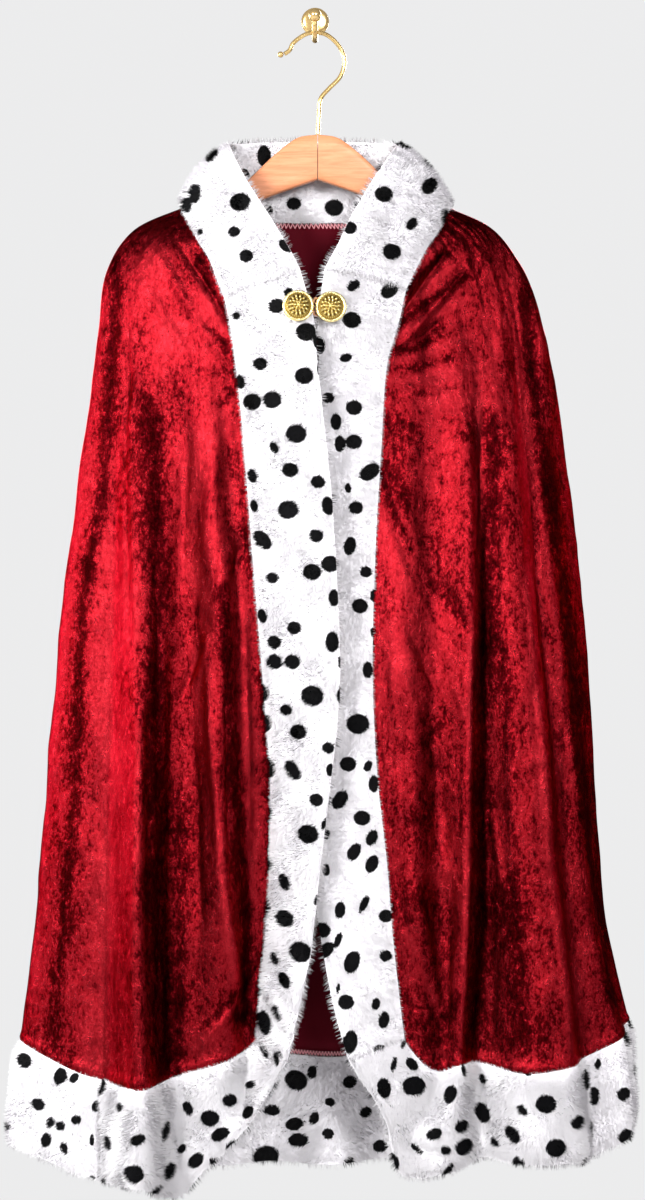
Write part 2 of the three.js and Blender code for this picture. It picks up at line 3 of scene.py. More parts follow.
import bpy
import numpy as np
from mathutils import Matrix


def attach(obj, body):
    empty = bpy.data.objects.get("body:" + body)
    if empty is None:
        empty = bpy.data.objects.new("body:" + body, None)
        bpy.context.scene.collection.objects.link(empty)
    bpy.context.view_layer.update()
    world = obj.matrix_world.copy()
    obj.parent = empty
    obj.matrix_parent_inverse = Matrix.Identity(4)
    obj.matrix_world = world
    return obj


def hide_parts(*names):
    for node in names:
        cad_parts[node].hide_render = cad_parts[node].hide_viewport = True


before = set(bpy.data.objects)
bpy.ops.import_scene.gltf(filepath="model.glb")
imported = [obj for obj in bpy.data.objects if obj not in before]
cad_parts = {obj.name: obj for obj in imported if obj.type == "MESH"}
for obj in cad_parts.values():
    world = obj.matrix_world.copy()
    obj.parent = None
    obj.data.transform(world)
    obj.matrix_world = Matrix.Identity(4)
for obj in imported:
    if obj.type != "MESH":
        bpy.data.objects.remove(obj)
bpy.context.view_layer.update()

# Shapes are worked out in millimetres in the frame of the CAD and become metres in their meshes.
METRES = 0.001

# The camera is level, 2.2 m before the hanger, where a pixel is 0.82 mm. Places on the photograph
# are pixels of 645 x 1200.
CAMERA_PLACE = (0.00615, -2.23, -0.4805)
PHOTO_WIDTH = 645
PHOTO_HEIGHT = 1200
PIXEL = 0.82
CAMERA_REACH = 2200
SENSOR = 36
PHOTO_MIDDLE = (PHOTO_WIDTH / 2, PHOTO_HEIGHT / 2)

camera_data = bpy.data.cameras.new("camera")
camera_data.sensor_width = SENSOR
camera_data.lens = SENSOR * CAMERA_REACH / (PIXEL * PHOTO_HEIGHT)
camera_data.clip_start = 0.05
camera_data.clip_end = 50
camera = bpy.data.objects.new("camera", camera_data)
camera.location = CAMERA_PLACE
camera.rotation_euler = (math.pi / 2, 0, 0)
bpy.context.scene.collection.objects.link(camera)
bpy.context.scene.camera = camera
bpy.context.scene.view_settings.view_transform = "Standard"


def share_of_reach(backward):
    """How far a place is from the camera along its line of sight, as a share of the camera's reach."""
    return (backward - CAMERA_PLACE[1] / METRES) / CAMERA_REACH


def photo_place(points):
    """Pixel of each point: its offset from the camera's line, divided by its share of the reach."""
    near = share_of_reach(points[..., 1])
    across = (points[..., 0] - CAMERA_PLACE[0] / METRES) / (PIXEL * near) + PHOTO_MIDDLE[0]
    down = (CAMERA_PLACE[2] / METRES - points[..., 2]) / (PIXEL * near) + PHOTO_MIDDLE[1]
    return np.stack([across, down], axis=-1)


def mix(first, second, share):
    """A value part of the way from one to the other."""
    return first + (second - first) * share


def smoothstep(value, low, high):
    """0 below low, 1 above high, and 3s^2 - 2s^3 between them."""
    share = np.clip((value - low) / (high - low), 0, 1)
    return share * share * (3 - 2 * share)


def unit(vectors):
    """Each vector divided by its length."""
    return vectors / np.maximum(np.linalg.norm(vectors, axis=-1, keepdims=True), 1e-9)


def smooth_line(points, index):
    """Centripetal Catmull-Rom line through points, read at index, which counts the points from 0."""
    points = np.asarray(points, float)
    last = len(points) - 1
    before = 2 * points[:1] - points[1:2]
    after = 2 * points[-1:] - points[-2:-1]
    chain = np.concatenate([before, points, after])
    index = np.clip(np.asarray(index, float), 0, last)
    first = np.minimum(index.astype(int), last - 1)
    w = (index - first).reshape((-1,) + (1,) * (points.ndim - 1))
    p0, p1, p2, p3 = (chain[first + k] for k in range(4))
    gaps = [
        np.maximum(np.sqrt(np.linalg.norm(b - a, axis=-1, keepdims=True)), 1e-4)
        for a, b in ((p0, p1), (p1, p2), (p2, p3))
    ]
    g0, g1, g2 = gaps
    leave = ((p1 - p0) / g0 - (p2 - p0) / (g0 + g1) + (p2 - p1) / g1) * g1
    arrive = ((p2 - p1) / g1 - (p3 - p1) / (g1 + g2) + (p3 - p2) / g2) * g1
    return (
        p1
        + leave * w
        + (3 * (p2 - p1) - 2 * leave - arrive) * w**2
        + (2 * (p1 - p2) + leave + arrive) * w**3
    )


# Fold lines of the cloth from the left front band round the back to the right one, in millimetres:
# collar's free edge, neck seam, then across and forward at chest, waist and knee, hem seam, foot.
CHEST_Z = -262
WAIST_Z = -480
HIP_Z = -600
KNEE_Z = -720
SHIN_Z = -780
LEFT_FOLDS = [
    ((-12, -92, -216), (-72, -70, -239),
     (-67, -73), (-46, -84), (-37, -80), (-46, -86, -835), (-22, -118, -844)),
    ((-22, -89, -197), (-81, -64, -216),
     (-78, -69), (-60, -84), (-52, -86), (-55, -90, -839), (-55, -110, -899)),
    ((-33, -84, -178), (-87, -58, -202),
     (-93, -66), (-74, -98), (-70, -112), (-71, -108, -846), (-81, -108, -925)),
    ((-46, -76, -157), (-95, -52, -188),
     (-116, -60), (-103, -76), (-106, -92), (-113, -98, -860), (-108, -104, -952)),
    ((-56, -68, -140), (-101, -44, -174),
     (-142, -54), (-141, -90), (-139, -122), (-136, -134, -864), (-136, -136, -940)),
    ((-65, -58, -122), (-105, -37, -166),
     (-157, -47), (-164, -66), (-167, -84), (-169, -90, -863), (-169, -92, -943)),
    ((-69, -43, -111), (-107, -33, -161),
     (-169, -40), (-182, -62), (-185, -80), (-188, -88, -858), (-195, -88, -936)),
    ((-69, -33, -108), (-108, -29, -159),
     (-177, -32), (-204, -45), (-225, -52), (-238, -54, -837), (-247, -54, -920)),
]
RIGHT_FOLDS = [
    ((67, -33, -108), (108, -28, -158),
     (188, -29), (219, -27), (235, -30), (256, -30, -825), (258, -30, -908)),
    ((66, -43, -111), (110, -30, -159),
     (184, -33), (209, -41), (228, -48), (250, -48, -827), (254, -48, -910)),
    ((62, -52, -117), (110, -33, -161),
     (171, -38), (195, -57), (221, -68), (247, -70, -833), (252, -70, -914)),
    ((58, -60, -124), (108, -36, -163),
     (162, -42), (180, -62), (201, -77), (214, -84, -847), (218, -86, -926)),
    ((54, -65, -130), (106, -39, -166),
     (153, -46), (170, -80), (189, -102), (203, -114, -849), (205, -116, -924)),
    ((49, -69, -138), (104, -43, -172),
     (142, -50), (155, -84), (163, -105), (168, -116, -854), (169, -118, -925)),
    ((44, -73, -147), (101, -46, -178),
     (131, -53), (138, -78), (137, -87), (130, -91, -849), (134, -94, -923)),
    ((37, -77, -159), (97, -50, -185),
     (117, -57), (126, -96), (121, -110), (115, -111, -848), (102, -110, -934)),
    ((30, -81, -171), (91, -56, -194),
     (95, -63), (96, -86), (100, -97), (102, -104, -854), (68, -106, -934)),
    ((20, -86, -193), (83, -63, -210),
     (78, -69), (69, -95), (79, -110), (88, -109, -849), (55, -112, -890)),
    ((8, -92, -216), (73, -70, -231),
     (66, -74), (48, -86), (60, -99), (71, -104, -830), (26, -117, -842)),
]
# Behind: share of the way from the left side to the right one, and how far each stands off the wall.
BACK_FOLDS = [
    (0.055, 26), (0.15, 46), (0.24, 18), (0.325, 40), (0.42, 19), (0.515, 37),
    (0.6, 17), (0.69, 43), (0.79, 20), (0.885, 36), (0.945, 24),
]


def back_fold(across, forward):
    """A line between both sides: flat ovals at collar and neck, and folds that grow towards the hem."""
    left = LEFT_FOLDS[-1]
    right = RIGHT_FOLDS[0]
    side = 2 * across - 1
    arc = math.copysign(abs(side) ** 0.85, side)
    rise = (1 - side * side) ** 0.7
    top = (67 * arc - 1, -33 + 20.5 * rise, -108 + 6 * rise)
    neck = (108 * arc, -28.5 + 17 * rise, -158.5 - 10.5 * rise)
    levels = [
        (mix(left[k][0], right[k][0], across), -12 - (forward - 12) * grown - bend * side**6)
        for k, grown, bend in ((2, 0.15, 8), (3, 0.35, 6), (4, 0.72, 4))
    ]
    hem = (mix(left[5][0], right[5][0], across), -forward, mix(-840, -832, across) - 18 * rise)
    foot = (mix(left[6][0], right[6][0], across), -forward, mix(-924, -914, across) - 23 * rise)
    return (top, neck, *levels, hem, foot)


folds = LEFT_FOLDS + [back_fold(*row) for row in BACK_FOLDS] + RIGHT_FOLDS
LAST = len(folds) - 1
LEFT_SEAM = 5
RIGHT_SEAM = LAST - 7
TOP, NECK, HEM, FOOT = (np.array([fold[k] for fold in folds], float) for k in (0, 1, 5, 6))

# The front bands: height, left seam, left edge, right seam, right edge, each across and forward.
BAND_LINES = [
    (-262, (-67, -73), (0, -102), (66, -74), (2, -89)),
    (-290, (-63, -76), (2, -105), (58, -77), (3, -85)),
    (-360, (-56, -80), (10, -108), (53, -81), (-8, -86)),
    (-449, (-49, -84), (17, -111), (48, -86), (-12, -88)),
    (-544, (-41, -84), (20, -114), (46, -90), (-13, -90)),
    (-624, (-35, -80), (13, -116), (50, -94), (-9, -92)),
    (-687, (-35, -79), (5, -118), (57, -98), (-3, -96)),
    (-750, (-39, -80), (-2, -120), (62, -102), (5, -104)),
    (-797, (-43, -84), (-11, -120), (67, -104), (14, -112)),
]
BAND_END = len(BAND_LINES) + 1
CLOTH_END = 8  # the last station down a fold line, at the hem seam


def band_line(column, first, last, index):
    """The smooth line of a seam or edge of a front band, from the collar's end to the hem fur."""
    rows = [first] + [(*row[column], row[0]) for row in BAND_LINES] + [last]
    return smooth_line(rows, index)


def band_seam(right, index):
    """Where a band's fur meets the velvet."""
    row = folds[LAST if right else 0]
    return band_line(3 if right else 1, row[1], row[5], index)


def shoulder(neck, chest, share):
    """A rational curve that leaves the neck nearly level, turns at the hanger's tip and falls.

    The corner it turns at lies nearer the neck on the right, whose shoulder slopes more.
    """
    reach = chest[:, 0] - neck[:, 0]
    out = np.where(reach > 0, -0.24, 0.04)
    fall = np.where(reach > 0, 0.08, 0.15)
    corner_out = chest[:, 0] + out * reach
    corner_depth = mix(neck[:, 1], chest[:, 1], 0.65)
    corner_height = neck[:, 2] - 4 - fall * abs(reach)
    corner = np.stack([corner_out, corner_depth, corner_height], axis=1)
    weights = ((1 - share) ** 2, 1.9 * share * (1 - share), share**2)
    return (weights[0] * neck + weights[1] * corner + weights[2] * chest) / sum(weights)


def at_height(column, height):
    """The folds' places across and forward at one height, as points."""
    places = np.array([fold[column] for fold in folds], float)
    return np.column_stack([places, np.full(len(folds), height)])


def cloth_stations():
    """Nine points down every fold line; the first three and the last stay clear of the fur's seams."""
    chest, waist, knee = at_height(2, CHEST_Z), at_height(3, WAIST_Z), at_height(4, KNEE_Z)
    hip = np.column_stack([mix(waist, knee, 0.54)[:, :2], np.full(len(folds), HIP_Z)])
    shin = np.column_stack([mix(knee, HEM, 0.45)[:, :2], np.full(len(folds), SHIN_Z)])
    return np.stack(
        [NECK, shoulder(NECK, chest, 0.36), shoulder(NECK, chest, 0.68), chest, waist, hip, knee, shin, HEM]
    )


STATIONS = cloth_stations()


def velvet_surface(u, t):
    """Middle of the velvet: a smooth line round the folds through what each fold line is at station t."""
    rows = smooth_line(STATIONS, t)
    for fold, right in ((0, False), (LAST, True)):
        seam = band_seam(right, np.linspace(0, BAND_END, 600))
        heights = rows[:, fold, 2]
        for axis in (0, 1):
            rows[:, fold, axis] = np.interp(-heights, -seam[:, 2], seam[:, axis])
    return smooth_line(rows.swapaxes(0, 1), u)


def hem_surface(u, v):
    """Hem fur: straight from the hem seam at v = 0 down to the foot at v = 1."""
    seam = smooth_line(HEM, u)[:, None]
    foot = smooth_line(FOOT, u)[:, None]
    return seam + (foot - seam) * v[None, :, None]


def collar_surface(u, v):
    """Collar: from the neck seam to the free edge, with a bulge outwards that fades at the front."""
    low = smooth_line(NECK, u)
    high = smooth_line(TOP, u)
    out = (low + high) / 2 + (0, 45, 0)
    out[:, 2] = 0
    out[:, 1] = np.minimum(out[:, 1], 0)
    bulge = 7 * smoothstep(abs(low[:, 0]), 80, 104)
    shift = unit(out)[:, None] * bulge[:, None, None] * np.sin(math.pi * v)[None, :, None]
    return low[:, None] + (high - low)[:, None] * v[None, :, None] + shift


def band_surface(right, bulge):
    """A front band: from its seam to its free edge, bulging forward by a sine between them."""
    row = folds[LAST if right else 0]

    def surface(s, v):
        seam = band_seam(right, s)[:, None]
        edge = band_line(4 if right else 2, row[0], row[6], s)[:, None]
        window = np.clip(np.minimum(s, BAND_END - s), 0, 1)
        points = seam + (edge - seam) * v[None, :, None]
        points[..., 1] -= bulge * np.sin(math.pi * v)[None, :] * window[:, None]
        return points

    return surface


def grid_normals(grid):
    """Normals of a grid surface: the cross product of its two directions."""
    return unit(np.cross(np.gradient(grid, axis=0), np.gradient(grid, axis=1)))


def wall(middle, half, turned):
    """A closed shell round a middle surface: both faces at half its thickness, and four rims.

    The side of its points is 0 on the outer face and 1 on the inner one.
    """
    rows, cols = middle.shape[:2]
    normals = grid_normals(middle) * (-1 if turned else 1)
    half = np.broadcast_to(half, (rows, cols))[..., None]
    outer, inner = middle + normals * half, middle - normals * half
    vertices = np.concatenate([outer.reshape(-1, 3), inner.reshape(-1, 3)])
    index = np.arange(rows * cols).reshape(rows, cols)
    under = index + rows * cols
    a, b, c, d = index[:-1, :-1], index[1:, :-1], index[1:, 1:], index[:-1, 1:]

    def strips(*corners):
        return np.stack(corners, axis=-1).reshape(-1, 4)

    first, last = 0, -1
    quads = np.concatenate([
        strips(a, b, c, d),
        strips(a, d, c, b) + rows * cols,
        strips(index[:-1, first], under[:-1, first], under[1:, first], index[1:, first]),
        strips(index[:-1, last], index[1:, last], under[1:, last], under[:-1, last]),
        strips(index[first, :-1], index[first, 1:], under[first, 1:], under[first, :-1]),
        strips(index[last, :-1], under[last, :-1], under[last, 1:], index[last, 1:]),
    ])
    if turned:
        quads = quads[:, ::-1]
    side = np.repeat((0.0, 1.0), rows * cols)
    return {"points": vertices, "quads": quads, "side": side}


def point_normals(points, quads):
    """Each point's normal: the sum of the normals of the faces round it."""
    face = np.cross(points[quads[:, 2]] - points[quads[:, 0]], points[quads[:, 3]] - points[quads[:, 1]])
    normals = np.zeros_like(points)
    for corner in range(4):
        np.add.at(normals, quads[:, corner], face)
    return unit(normals)


SHARP_ANGLE = math.radians(62)


def add_piece(name, points, quads=(), triangles=(), material=None, finish=None, marks=None, smooth=True):
    """A mesh object at the origin from whole arrays: points in millimetres, quads and triangles."""
    quads = np.asarray(quads, dtype=np.int32).reshape(-1, 4)
    triangles = np.asarray(triangles, dtype=np.int32).reshape(-1, 3)
    mesh = bpy.data.meshes.new(name)
    mesh.vertices.add(len(points))
    mesh.vertices.foreach_set("co", (np.asarray(points) * METRES).astype(np.float32).ravel())
    mesh.loops.add(quads.size + triangles.size)
    mesh.loops.foreach_set("vertex_index", np.concatenate([quads.ravel(), triangles.ravel()]))
    mesh.polygons.add(len(quads) + len(triangles))
    starts = np.concatenate([
        np.arange(len(quads)) * 4,
        quads.size + np.arange(len(triangles)) * 3,
    ])
    mesh.polygons.foreach_set("loop_start", starts.astype(np.int32))
    mesh.polygons.foreach_set("use_smooth", np.full(len(starts), smooth))
    for mark, values in (marks or {}).items():
        layer = mesh.attributes.new(mark, "FLOAT", "POINT")
        layer.data.foreach_set("value", np.asarray(values, dtype=np.float32))
    mesh.update(calc_edges=True)
    mesh.validate()
    if smooth:
        mesh.set_sharp_from_angle(angle=SHARP_ANGLE)
    piece = bpy.data.objects.new(name, mesh)
    bpy.context.scene.collection.objects.link(piece)
    if material is not None:
        mesh.materials.append(material)
    if finish is not None:
        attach(piece, "root")
    return piece


class Value:
    """A socket that holds a number; + - and * add Math nodes, also with a plain number on the left."""

    def __init__(self, finish, socket):
        self.finish = finish
        self.socket = socket

    def joined(self, operation, first, second, clamp=False):
        """The result of one Math node on two numbers."""
        settings = {"operation": operation, "use_clamp": clamp}
        node = self.finish.node("ShaderNodeMath", settings, [first, second])
        return Value(self.finish, node.outputs[0])

    def __add__(self, other):
        return self.joined("ADD", self, other)

    def __radd__(self, other):
        return self.joined("ADD", other, self)

    def __sub__(self, other):
        return self.joined("SUBTRACT", self, other)

    def __rsub__(self, other):
        return self.joined("SUBTRACT", other, self)

    def __mul__(self, other):
        return self.joined("MULTIPLY", self, other)

    def __rmul__(self, other):
        return self.joined("MULTIPLY", other, self)

    def clipped(self):
        """The number held between 0 and 1."""
        return self.joined("ADD", self, 0, clamp=True)


class Finish:
    """One material: its nodes are made through node(), and its Principled shader takes the results."""

    def __init__(self, name, **constants):
        self.material = bpy.data.materials.new(name)
        self.material.use_nodes = True
        self.nodes = self.material.node_tree.nodes
        self.links = self.material.node_tree.links
        self.shader = self.nodes["Principled BSDF"]
        for socket, value in constants.items():
            self.shader.inputs[socket.replace("_", " ")].default_value = value
        self.place = self.node("ShaderNodeTexCoord").outputs["Object"]

    def node(self, kind, settings=None, values=()):
        """Adds a node: settings first, then each input by its name or number, as a link or a value."""
        made = self.nodes.new(kind)
        for key, value in (settings or {}).items():
            setattr(made, key, value)
        pairs = values.items() if isinstance(values, dict) else enumerate(values)
        for key, value in pairs:
            socket = made.inputs[key]
            value = value.socket if isinstance(value, Value) else value
            if isinstance(value, bpy.types.NodeSocket):
                self.links.new(value, socket)
            else:
                socket.default_value = value
        return made

    def scaled(self, vector, factors):
        """A place stretched by three factors."""
        return self.node("ShaderNodeVectorMath", {"operation": "MULTIPLY"}, [vector, factors]).outputs[0]

    def noise(self, vector, scale, detail=3, roughness=0.5, distortion=0):
        """Noise as a Value from 0 to 1."""
        values = {"Vector": vector, "Scale": scale, "Detail": detail}
        values |= {"Roughness": roughness, "Distortion": distortion}
        return Value(self, self.node("ShaderNodeTexNoise", None, values).outputs[0])

    def mark(self, name):
        """A mesh attribute as a Value."""
        node = self.node("ShaderNodeAttribute", {"attribute_name": name})
        return Value(self, node.outputs["Fac"])

    def ramp(self, value, stops):
        """A colour ramp over a value; stops are places and colours."""
        node = self.node("ShaderNodeValToRGB", None, [value])
        while len(node.color_ramp.elements) < len(stops):
            node.color_ramp.elements.new(0.5)
        for element, (place, colour) in zip(node.color_ramp.elements, stops):
            element.position = place
            element.color = (*colour, 1)
        return node.outputs[0]

    def blend(self, share, first, second):
        """A colour part of the way from one to the other."""
        values = {"Factor": share}
        node = self.node("ShaderNodeMix", {"data_type": "RGBA"}, values)
        for socket, colour in ((node.inputs[6], first), (node.inputs[7], second)):
            if isinstance(colour, bpy.types.NodeSocket):
                self.links.new(colour, socket)
            else:
                socket.default_value = (*colour, 1)
        return node.outputs[2]

    def bump(self, height, distance, strength=1.0):
        """A Bump node on the shader's normal."""
        values = {"Height": height, "Distance": distance, "Strength": strength}
        node = self.node("ShaderNodeBump", None, values)
        self.links.new(node.outputs[0], self.shader.inputs["Normal"])

    def set(self, socket, value):
        """Links a result to one of the shader's sockets."""
        value = value.socket if isinstance(value, Value) else value
        self.links.new(value, self.shader.inputs[socket])


def velvet_finish():
    """Crushed velvet outside, plain smooth backing inside, told apart by the side mark.

    The pile is crushed in patches that catch the light or swallow it, broken into flecks at their edges.
    A mark of strokes adds painted highlights and painted shade along the folds, as pile brushed up or down.
    """
    finish = Finish("crushed_velvet", Specular_IOR_Level=0.15, Specular_Tint=(0.75, 0.2, 0.26, 1))
    inside = finish.mark("side")
    tall = finish.scaled(finish.place, (1.0, 1.0, 0.6))
    patches = finish.noise(tall, 30, 4, 0.6, 0.3)
    crush = finish.noise(tall, 210, 6, 0.74, 0.25)
    flecks = finish.noise(tall, 700, 3, 0.7)
    # Painted highlights and painted shade along the folds, from strokes where the pile is taken as brushed
    # up or down.
    nap_and_fold_light = finish.mark("nap_and_fold_light")
    pile_tone_and_fold_light = 0.52 + nap_and_fold_light * 0.36 + (patches - 0.5) * 0.9 + (crush - 0.5) * 1.8 + (flecks - 0.5) * 1.0
    colour = finish.ramp(
        pile_tone_and_fold_light.clipped(),
        [
            (0.0, (0.015, 0.0002, 0.0005)),
            (0.32, (0.06, 0.0008, 0.002)),
            (0.5, (0.21, 0.005, 0.009)),
            (1.0, (0.38, 0.014, 0.022)),
        ],
    )
    finish.set("Base Color", finish.blend(inside, colour, (0.085, 0.003, 0.008)))
    finish.set("Roughness", mix(0.29 + (0.5 - crush) * 0.2, 0.6, inside))
    finish.set("Metallic", (1 - inside) * 0.97)
    finish.bump((crush + flecks * 0.4 + patches * 1.6) * (1 - inside * 0.95), 0.0009, 1.0)
    return finish.material


def fur_finish():
    """Backing of the pile, white with near black spots where the spot mark says so."""
    finish = Finish("fur_backing", Roughness=0.9, Specular_IOR_Level=0.15)
    spot = (finish.mark("spot") * 8 + 0.5).clipped()
    tuft = finish.noise(finish.place, 260, 3, 0.6)
    white = finish.ramp(tuft, [(0.3, (0.88, 0.86, 0.90)), (0.7, (0.96, 0.945, 0.965))])
    finish.set("Base Color", finish.blend(spot, white, (0.006, 0.006, 0.006)))
    finish.bump(tuft, 0.0015, 0.6)
    return finish.material


def strand_finish(name, colour, roughness, shine):
    """Short pile: one colour, with a roughness that changes from tuft to tuft."""
    finish = Finish(name, Base_Color=(*colour, 1), Specular_IOR_Level=shine)
    tuft = finish.noise(finish.place, 180, 2)
    finish.set("Roughness", roughness + (tuft - 0.5) * 0.2)
    return finish.material


def metal_finish(name, low, high, roughness, metallic):
    """Polished yellow metal with faint brushed lines, a slight tarnish and a lacquer that scatters light."""
    finish = Finish(name, Metallic=metallic, Specular_IOR_Level=0.6)
    tarnish = finish.noise(finish.place, 90, 4, 0.6)
    brushed = finish.noise(finish.scaled(finish.place, (1, 1, 0.15)), 2600, 2)
    finish.set("Base Color", finish.ramp(tarnish, [(0.3, low), (0.65, high)]))
    finish.set("Roughness", roughness + (tarnish - 0.5) * 0.12 + (brushed - 0.5) * 0.06)
    finish.bump(brushed, 0.00001, 0.2)
    return finish.material


def gilt_finish():
    """Stamped buttons: bright worn relief and rim, darker where the relief mark says that it is deep."""
    finish = Finish("gilt_button", Metallic=0.85, Specular_IOR_Level=0.6)
    height = finish.mark("relief")
    grain = finish.noise(finish.place, 900, 4, 0.7)
    shown = (height + (grain - 0.5) * 0.5).clipped()
    colour = finish.ramp(
        shown,
        [
            (0.0, (0.10, 0.055, 0.008)),
            (0.35, (0.42, 0.27, 0.05)),
            (0.7, (0.80, 0.62, 0.20)),
            (1.0, (0.92, 0.78, 0.36)),
        ],
    )
    finish.set("Base Color", colour)
    finish.set("Roughness", 0.42 - shown * 0.16)
    finish.bump(grain, 0.00035, 0.7)
    return finish.material


def wood_finish():
    """Beech: long fine grain along the arm, short darker flecks and a satin varnish."""
    finish = Finish("beech", Coat_Weight=0.25, Coat_Roughness=0.25, Specular_IOR_Level=0.4)
    lengthwise = finish.scaled(finish.place, (0.09, 1, 1))
    bands = finish.noise(lengthwise, 320, 4, 0.6, 0.8)
    flecks = finish.noise(finish.scaled(finish.place, (0.12, 1, 1)), 1500, 2, 0.7)
    warm = finish.ramp(
        bands,
        [(0.25, (0.56, 0.2, 0.085)), (0.5, (0.74, 0.285, 0.13)), (0.75, (0.80, 0.355, 0.18))],
    )
    fleck = ((flecks - 0.62) * 6).clipped()
    finish.set("Base Color", finish.blend(fleck * 0.55, warm, (0.36, 0.15, 0.05)))
    finish.set("Roughness", 0.42 + (bands - 0.5) * 0.2)
    finish.bump(bands * 0.4 - fleck, 0.0002, 0.5)
    return finish.material


velvet_material = velvet_finish()
fur_material = fur_finish()
white_strands = strand_finish("white_pile", (0.96, 0.945, 0.965), 0.75, 0.2)
black_strands = strand_finish("black_pile", (0.006, 0.006, 0.007), 0.6, 0.06)
brass = metal_finish("brass", (0.70, 0.47, 0.17), (0.80, 0.58, 0.25), 0.24, 0.7)
gilt = gilt_finish()
copper = metal_finish("copper_link", (0.60, 0.24, 0.10), (0.88, 0.46, 0.24), 0.3, 0.6)
beech = wood_finish()
thread = strand_finish("overlock_thread", (0.72, 0.30, 0.33), 0.7, 0.2)

# Creases on the velvet, from the photograph: from x, y to x, y, half width, and height, below 0
# for a trough. The last two numbers are millimetres.
CREASES = [
    (390, 322, 424, 268, 3.2, 2.2), (388, 334, 456, 238, 3.4, -3.2), (394, 352, 468, 268, 3.6, 2.6),
    (390, 362, 446, 318, 3.0, -2.4), (390, 376, 470, 344, 3.2, 2.0), (386, 386, 440, 366, 2.8, -2.0),
    (392, 402, 480, 372, 3.4, 1.6), (388, 410, 446, 394, 2.8, -1.6), (384, 440, 430, 452, 3.4, -1.3),
    (382, 488, 412, 572, 3.0, -2.8), (392, 478, 424, 562, 3.6, 2.2), (430, 570, 470, 630, 3.0, -2.4),
    (440, 560, 476, 616, 3.6, 1.8), (400, 560, 450, 660, 4.0, 1.4), (396, 600, 440, 700, 3.4, -1.5),
    (176, 240, 230, 322, 3.4, -2.8), (190, 232, 240, 300, 3.8, 2.4), (160, 256, 214, 350, 4.0, 2.0),
    (150, 290, 196, 372, 3.8, -1.8), (214, 300, 238, 350, 3.0, -1.8), (206, 330, 238, 372, 3.2, 1.6),
    (247, 530, 231, 582, 3.2, -2.2), (238, 516, 220, 596, 3.8, 1.8), (200, 650, 178, 704, 3.2, -2.2),
    (210, 636, 196, 690, 3.6, 1.6), (142, 372, 126, 432, 3.0, 1.6), (134, 360, 120, 420, 2.6, -1.6),
    (124, 430, 108, 500, 2.8, -2.0), (128, 306, 126, 480, 1.8, -1.8), (126, 470, 130, 657, 2.0, -1.8),
    (482, 430, 476, 640, 2.0, -1.8), (476, 640, 476, 850, 2.2, -1.9), (476, 850, 463, 1064, 2.4, -1.9),
    (470, 430, 466, 640, 3.4, 1.4), (466, 640, 466, 1050, 3.6, 1.5), (157, 560, 160, 820, 2.6, -2.2),
    (160, 820, 158, 1090, 2.8, -2.4), (150, 700, 150, 1060, 4.0, -2.2), (172, 640, 168, 1070, 4.4, -2.4),
    (208, 640, 222, 880, 4.4, 3.8), (222, 880, 240, 1000, 3.8, 3.0), (226, 640, 232, 900, 4.0, -3.4),
    (244, 560, 248, 860, 3.8, 3.2), (194, 740, 200, 940, 4.0, -2.4), (188, 860, 186, 1060, 5.0, 2.2),
    (238, 1000, 206, 1046, 3.4, 2.0), (262, 960, 236, 1010, 3.4, -1.8), (140, 680, 134, 1060, 4.2, 2.6),
    (96, 690, 74, 1040, 4.2, 2.4), (72, 560, 50, 900, 4.6, -2.8), (56, 860, 40, 1020, 4.2, -2.4),
    (100, 980, 88, 1052, 3.0, -2.6), (120, 940, 116, 1040, 3.6, 1.6), (116, 420, 102, 620, 4.6, 1.8),
    (218, 420, 206, 560, 5.0, 2.0), (188, 420, 176, 620, 5.0, -2.4), (164, 400, 158, 560, 5.0, -1.6),
    (516, 250, 520, 420, 3.4, -2.4), (524, 400, 560, 640, 4.2, -2.8), (530, 480, 536, 660, 4.0, 2.6),
    (538, 640, 552, 860, 4.0, 3.0), (552, 860, 572, 1050, 4.0, 2.8), (562, 640, 590, 880, 4.0, -2.8),
    (590, 860, 622, 1040, 3.8, -2.4), (500, 440, 494, 620, 4.4, -1.8), (510, 680, 516, 900, 4.6, 1.6),
    (494, 820, 506, 900, 3.2, 1.8), (492, 880, 490, 1060, 4.6, -2.2), (430, 700, 446, 860, 4.6, -1.6),
    (404, 700, 412, 860, 4.0, -1.8), (414, 880, 440, 1010, 3.8, 1.9), (398, 880, 424, 1020, 3.6, -1.8),
    (412, 1010, 448, 1056, 3.4, 1.8), (540, 980, 548, 1060, 3.6, 1.6), (452, 880, 446, 1040, 4.2, -1.4),
    (520, 930, 532, 1056, 3.8, -2.0), (600, 940, 616, 1040, 3.4, 2.0), (392, 640, 398, 760, 4.0, 1.4),
]
# Like creases on the back, in pixels as if it were seen through the front.
BACK_CREASES = [
    (190, 260, 230, 350, 4.5, -1.6), (210, 250, 250, 330, 4.5, 1.3), (300, 250, 296, 380, 5, -1.2),
    (350, 260, 362, 400, 5, 1.2), (420, 262, 400, 350, 4.5, -1.5), (455, 280, 430, 380, 5, 1.2),
    (140, 420, 150, 560, 5, 1.2), (240, 460, 232, 600, 5, -1.3), (330, 520, 338, 660, 5, 1.2),
    (410, 480, 420, 610, 5, -1.2), (500, 460, 506, 600, 5, 1.1), (180, 640, 172, 790, 5, -1.2),
    (290, 700, 298, 850, 5, 1.2), (380, 740, 374, 880, 5, -1.2), (470, 680, 478, 830, 5, 1.2),
    (560, 700, 568, 850, 5, -1.1), (110, 820, 104, 980, 5, 1.2), (230, 880, 236, 1020, 5, -1.2),
    (420, 900, 414, 1030, 5, 1.2), (520, 900, 526, 1040, 5, -1.2),
]
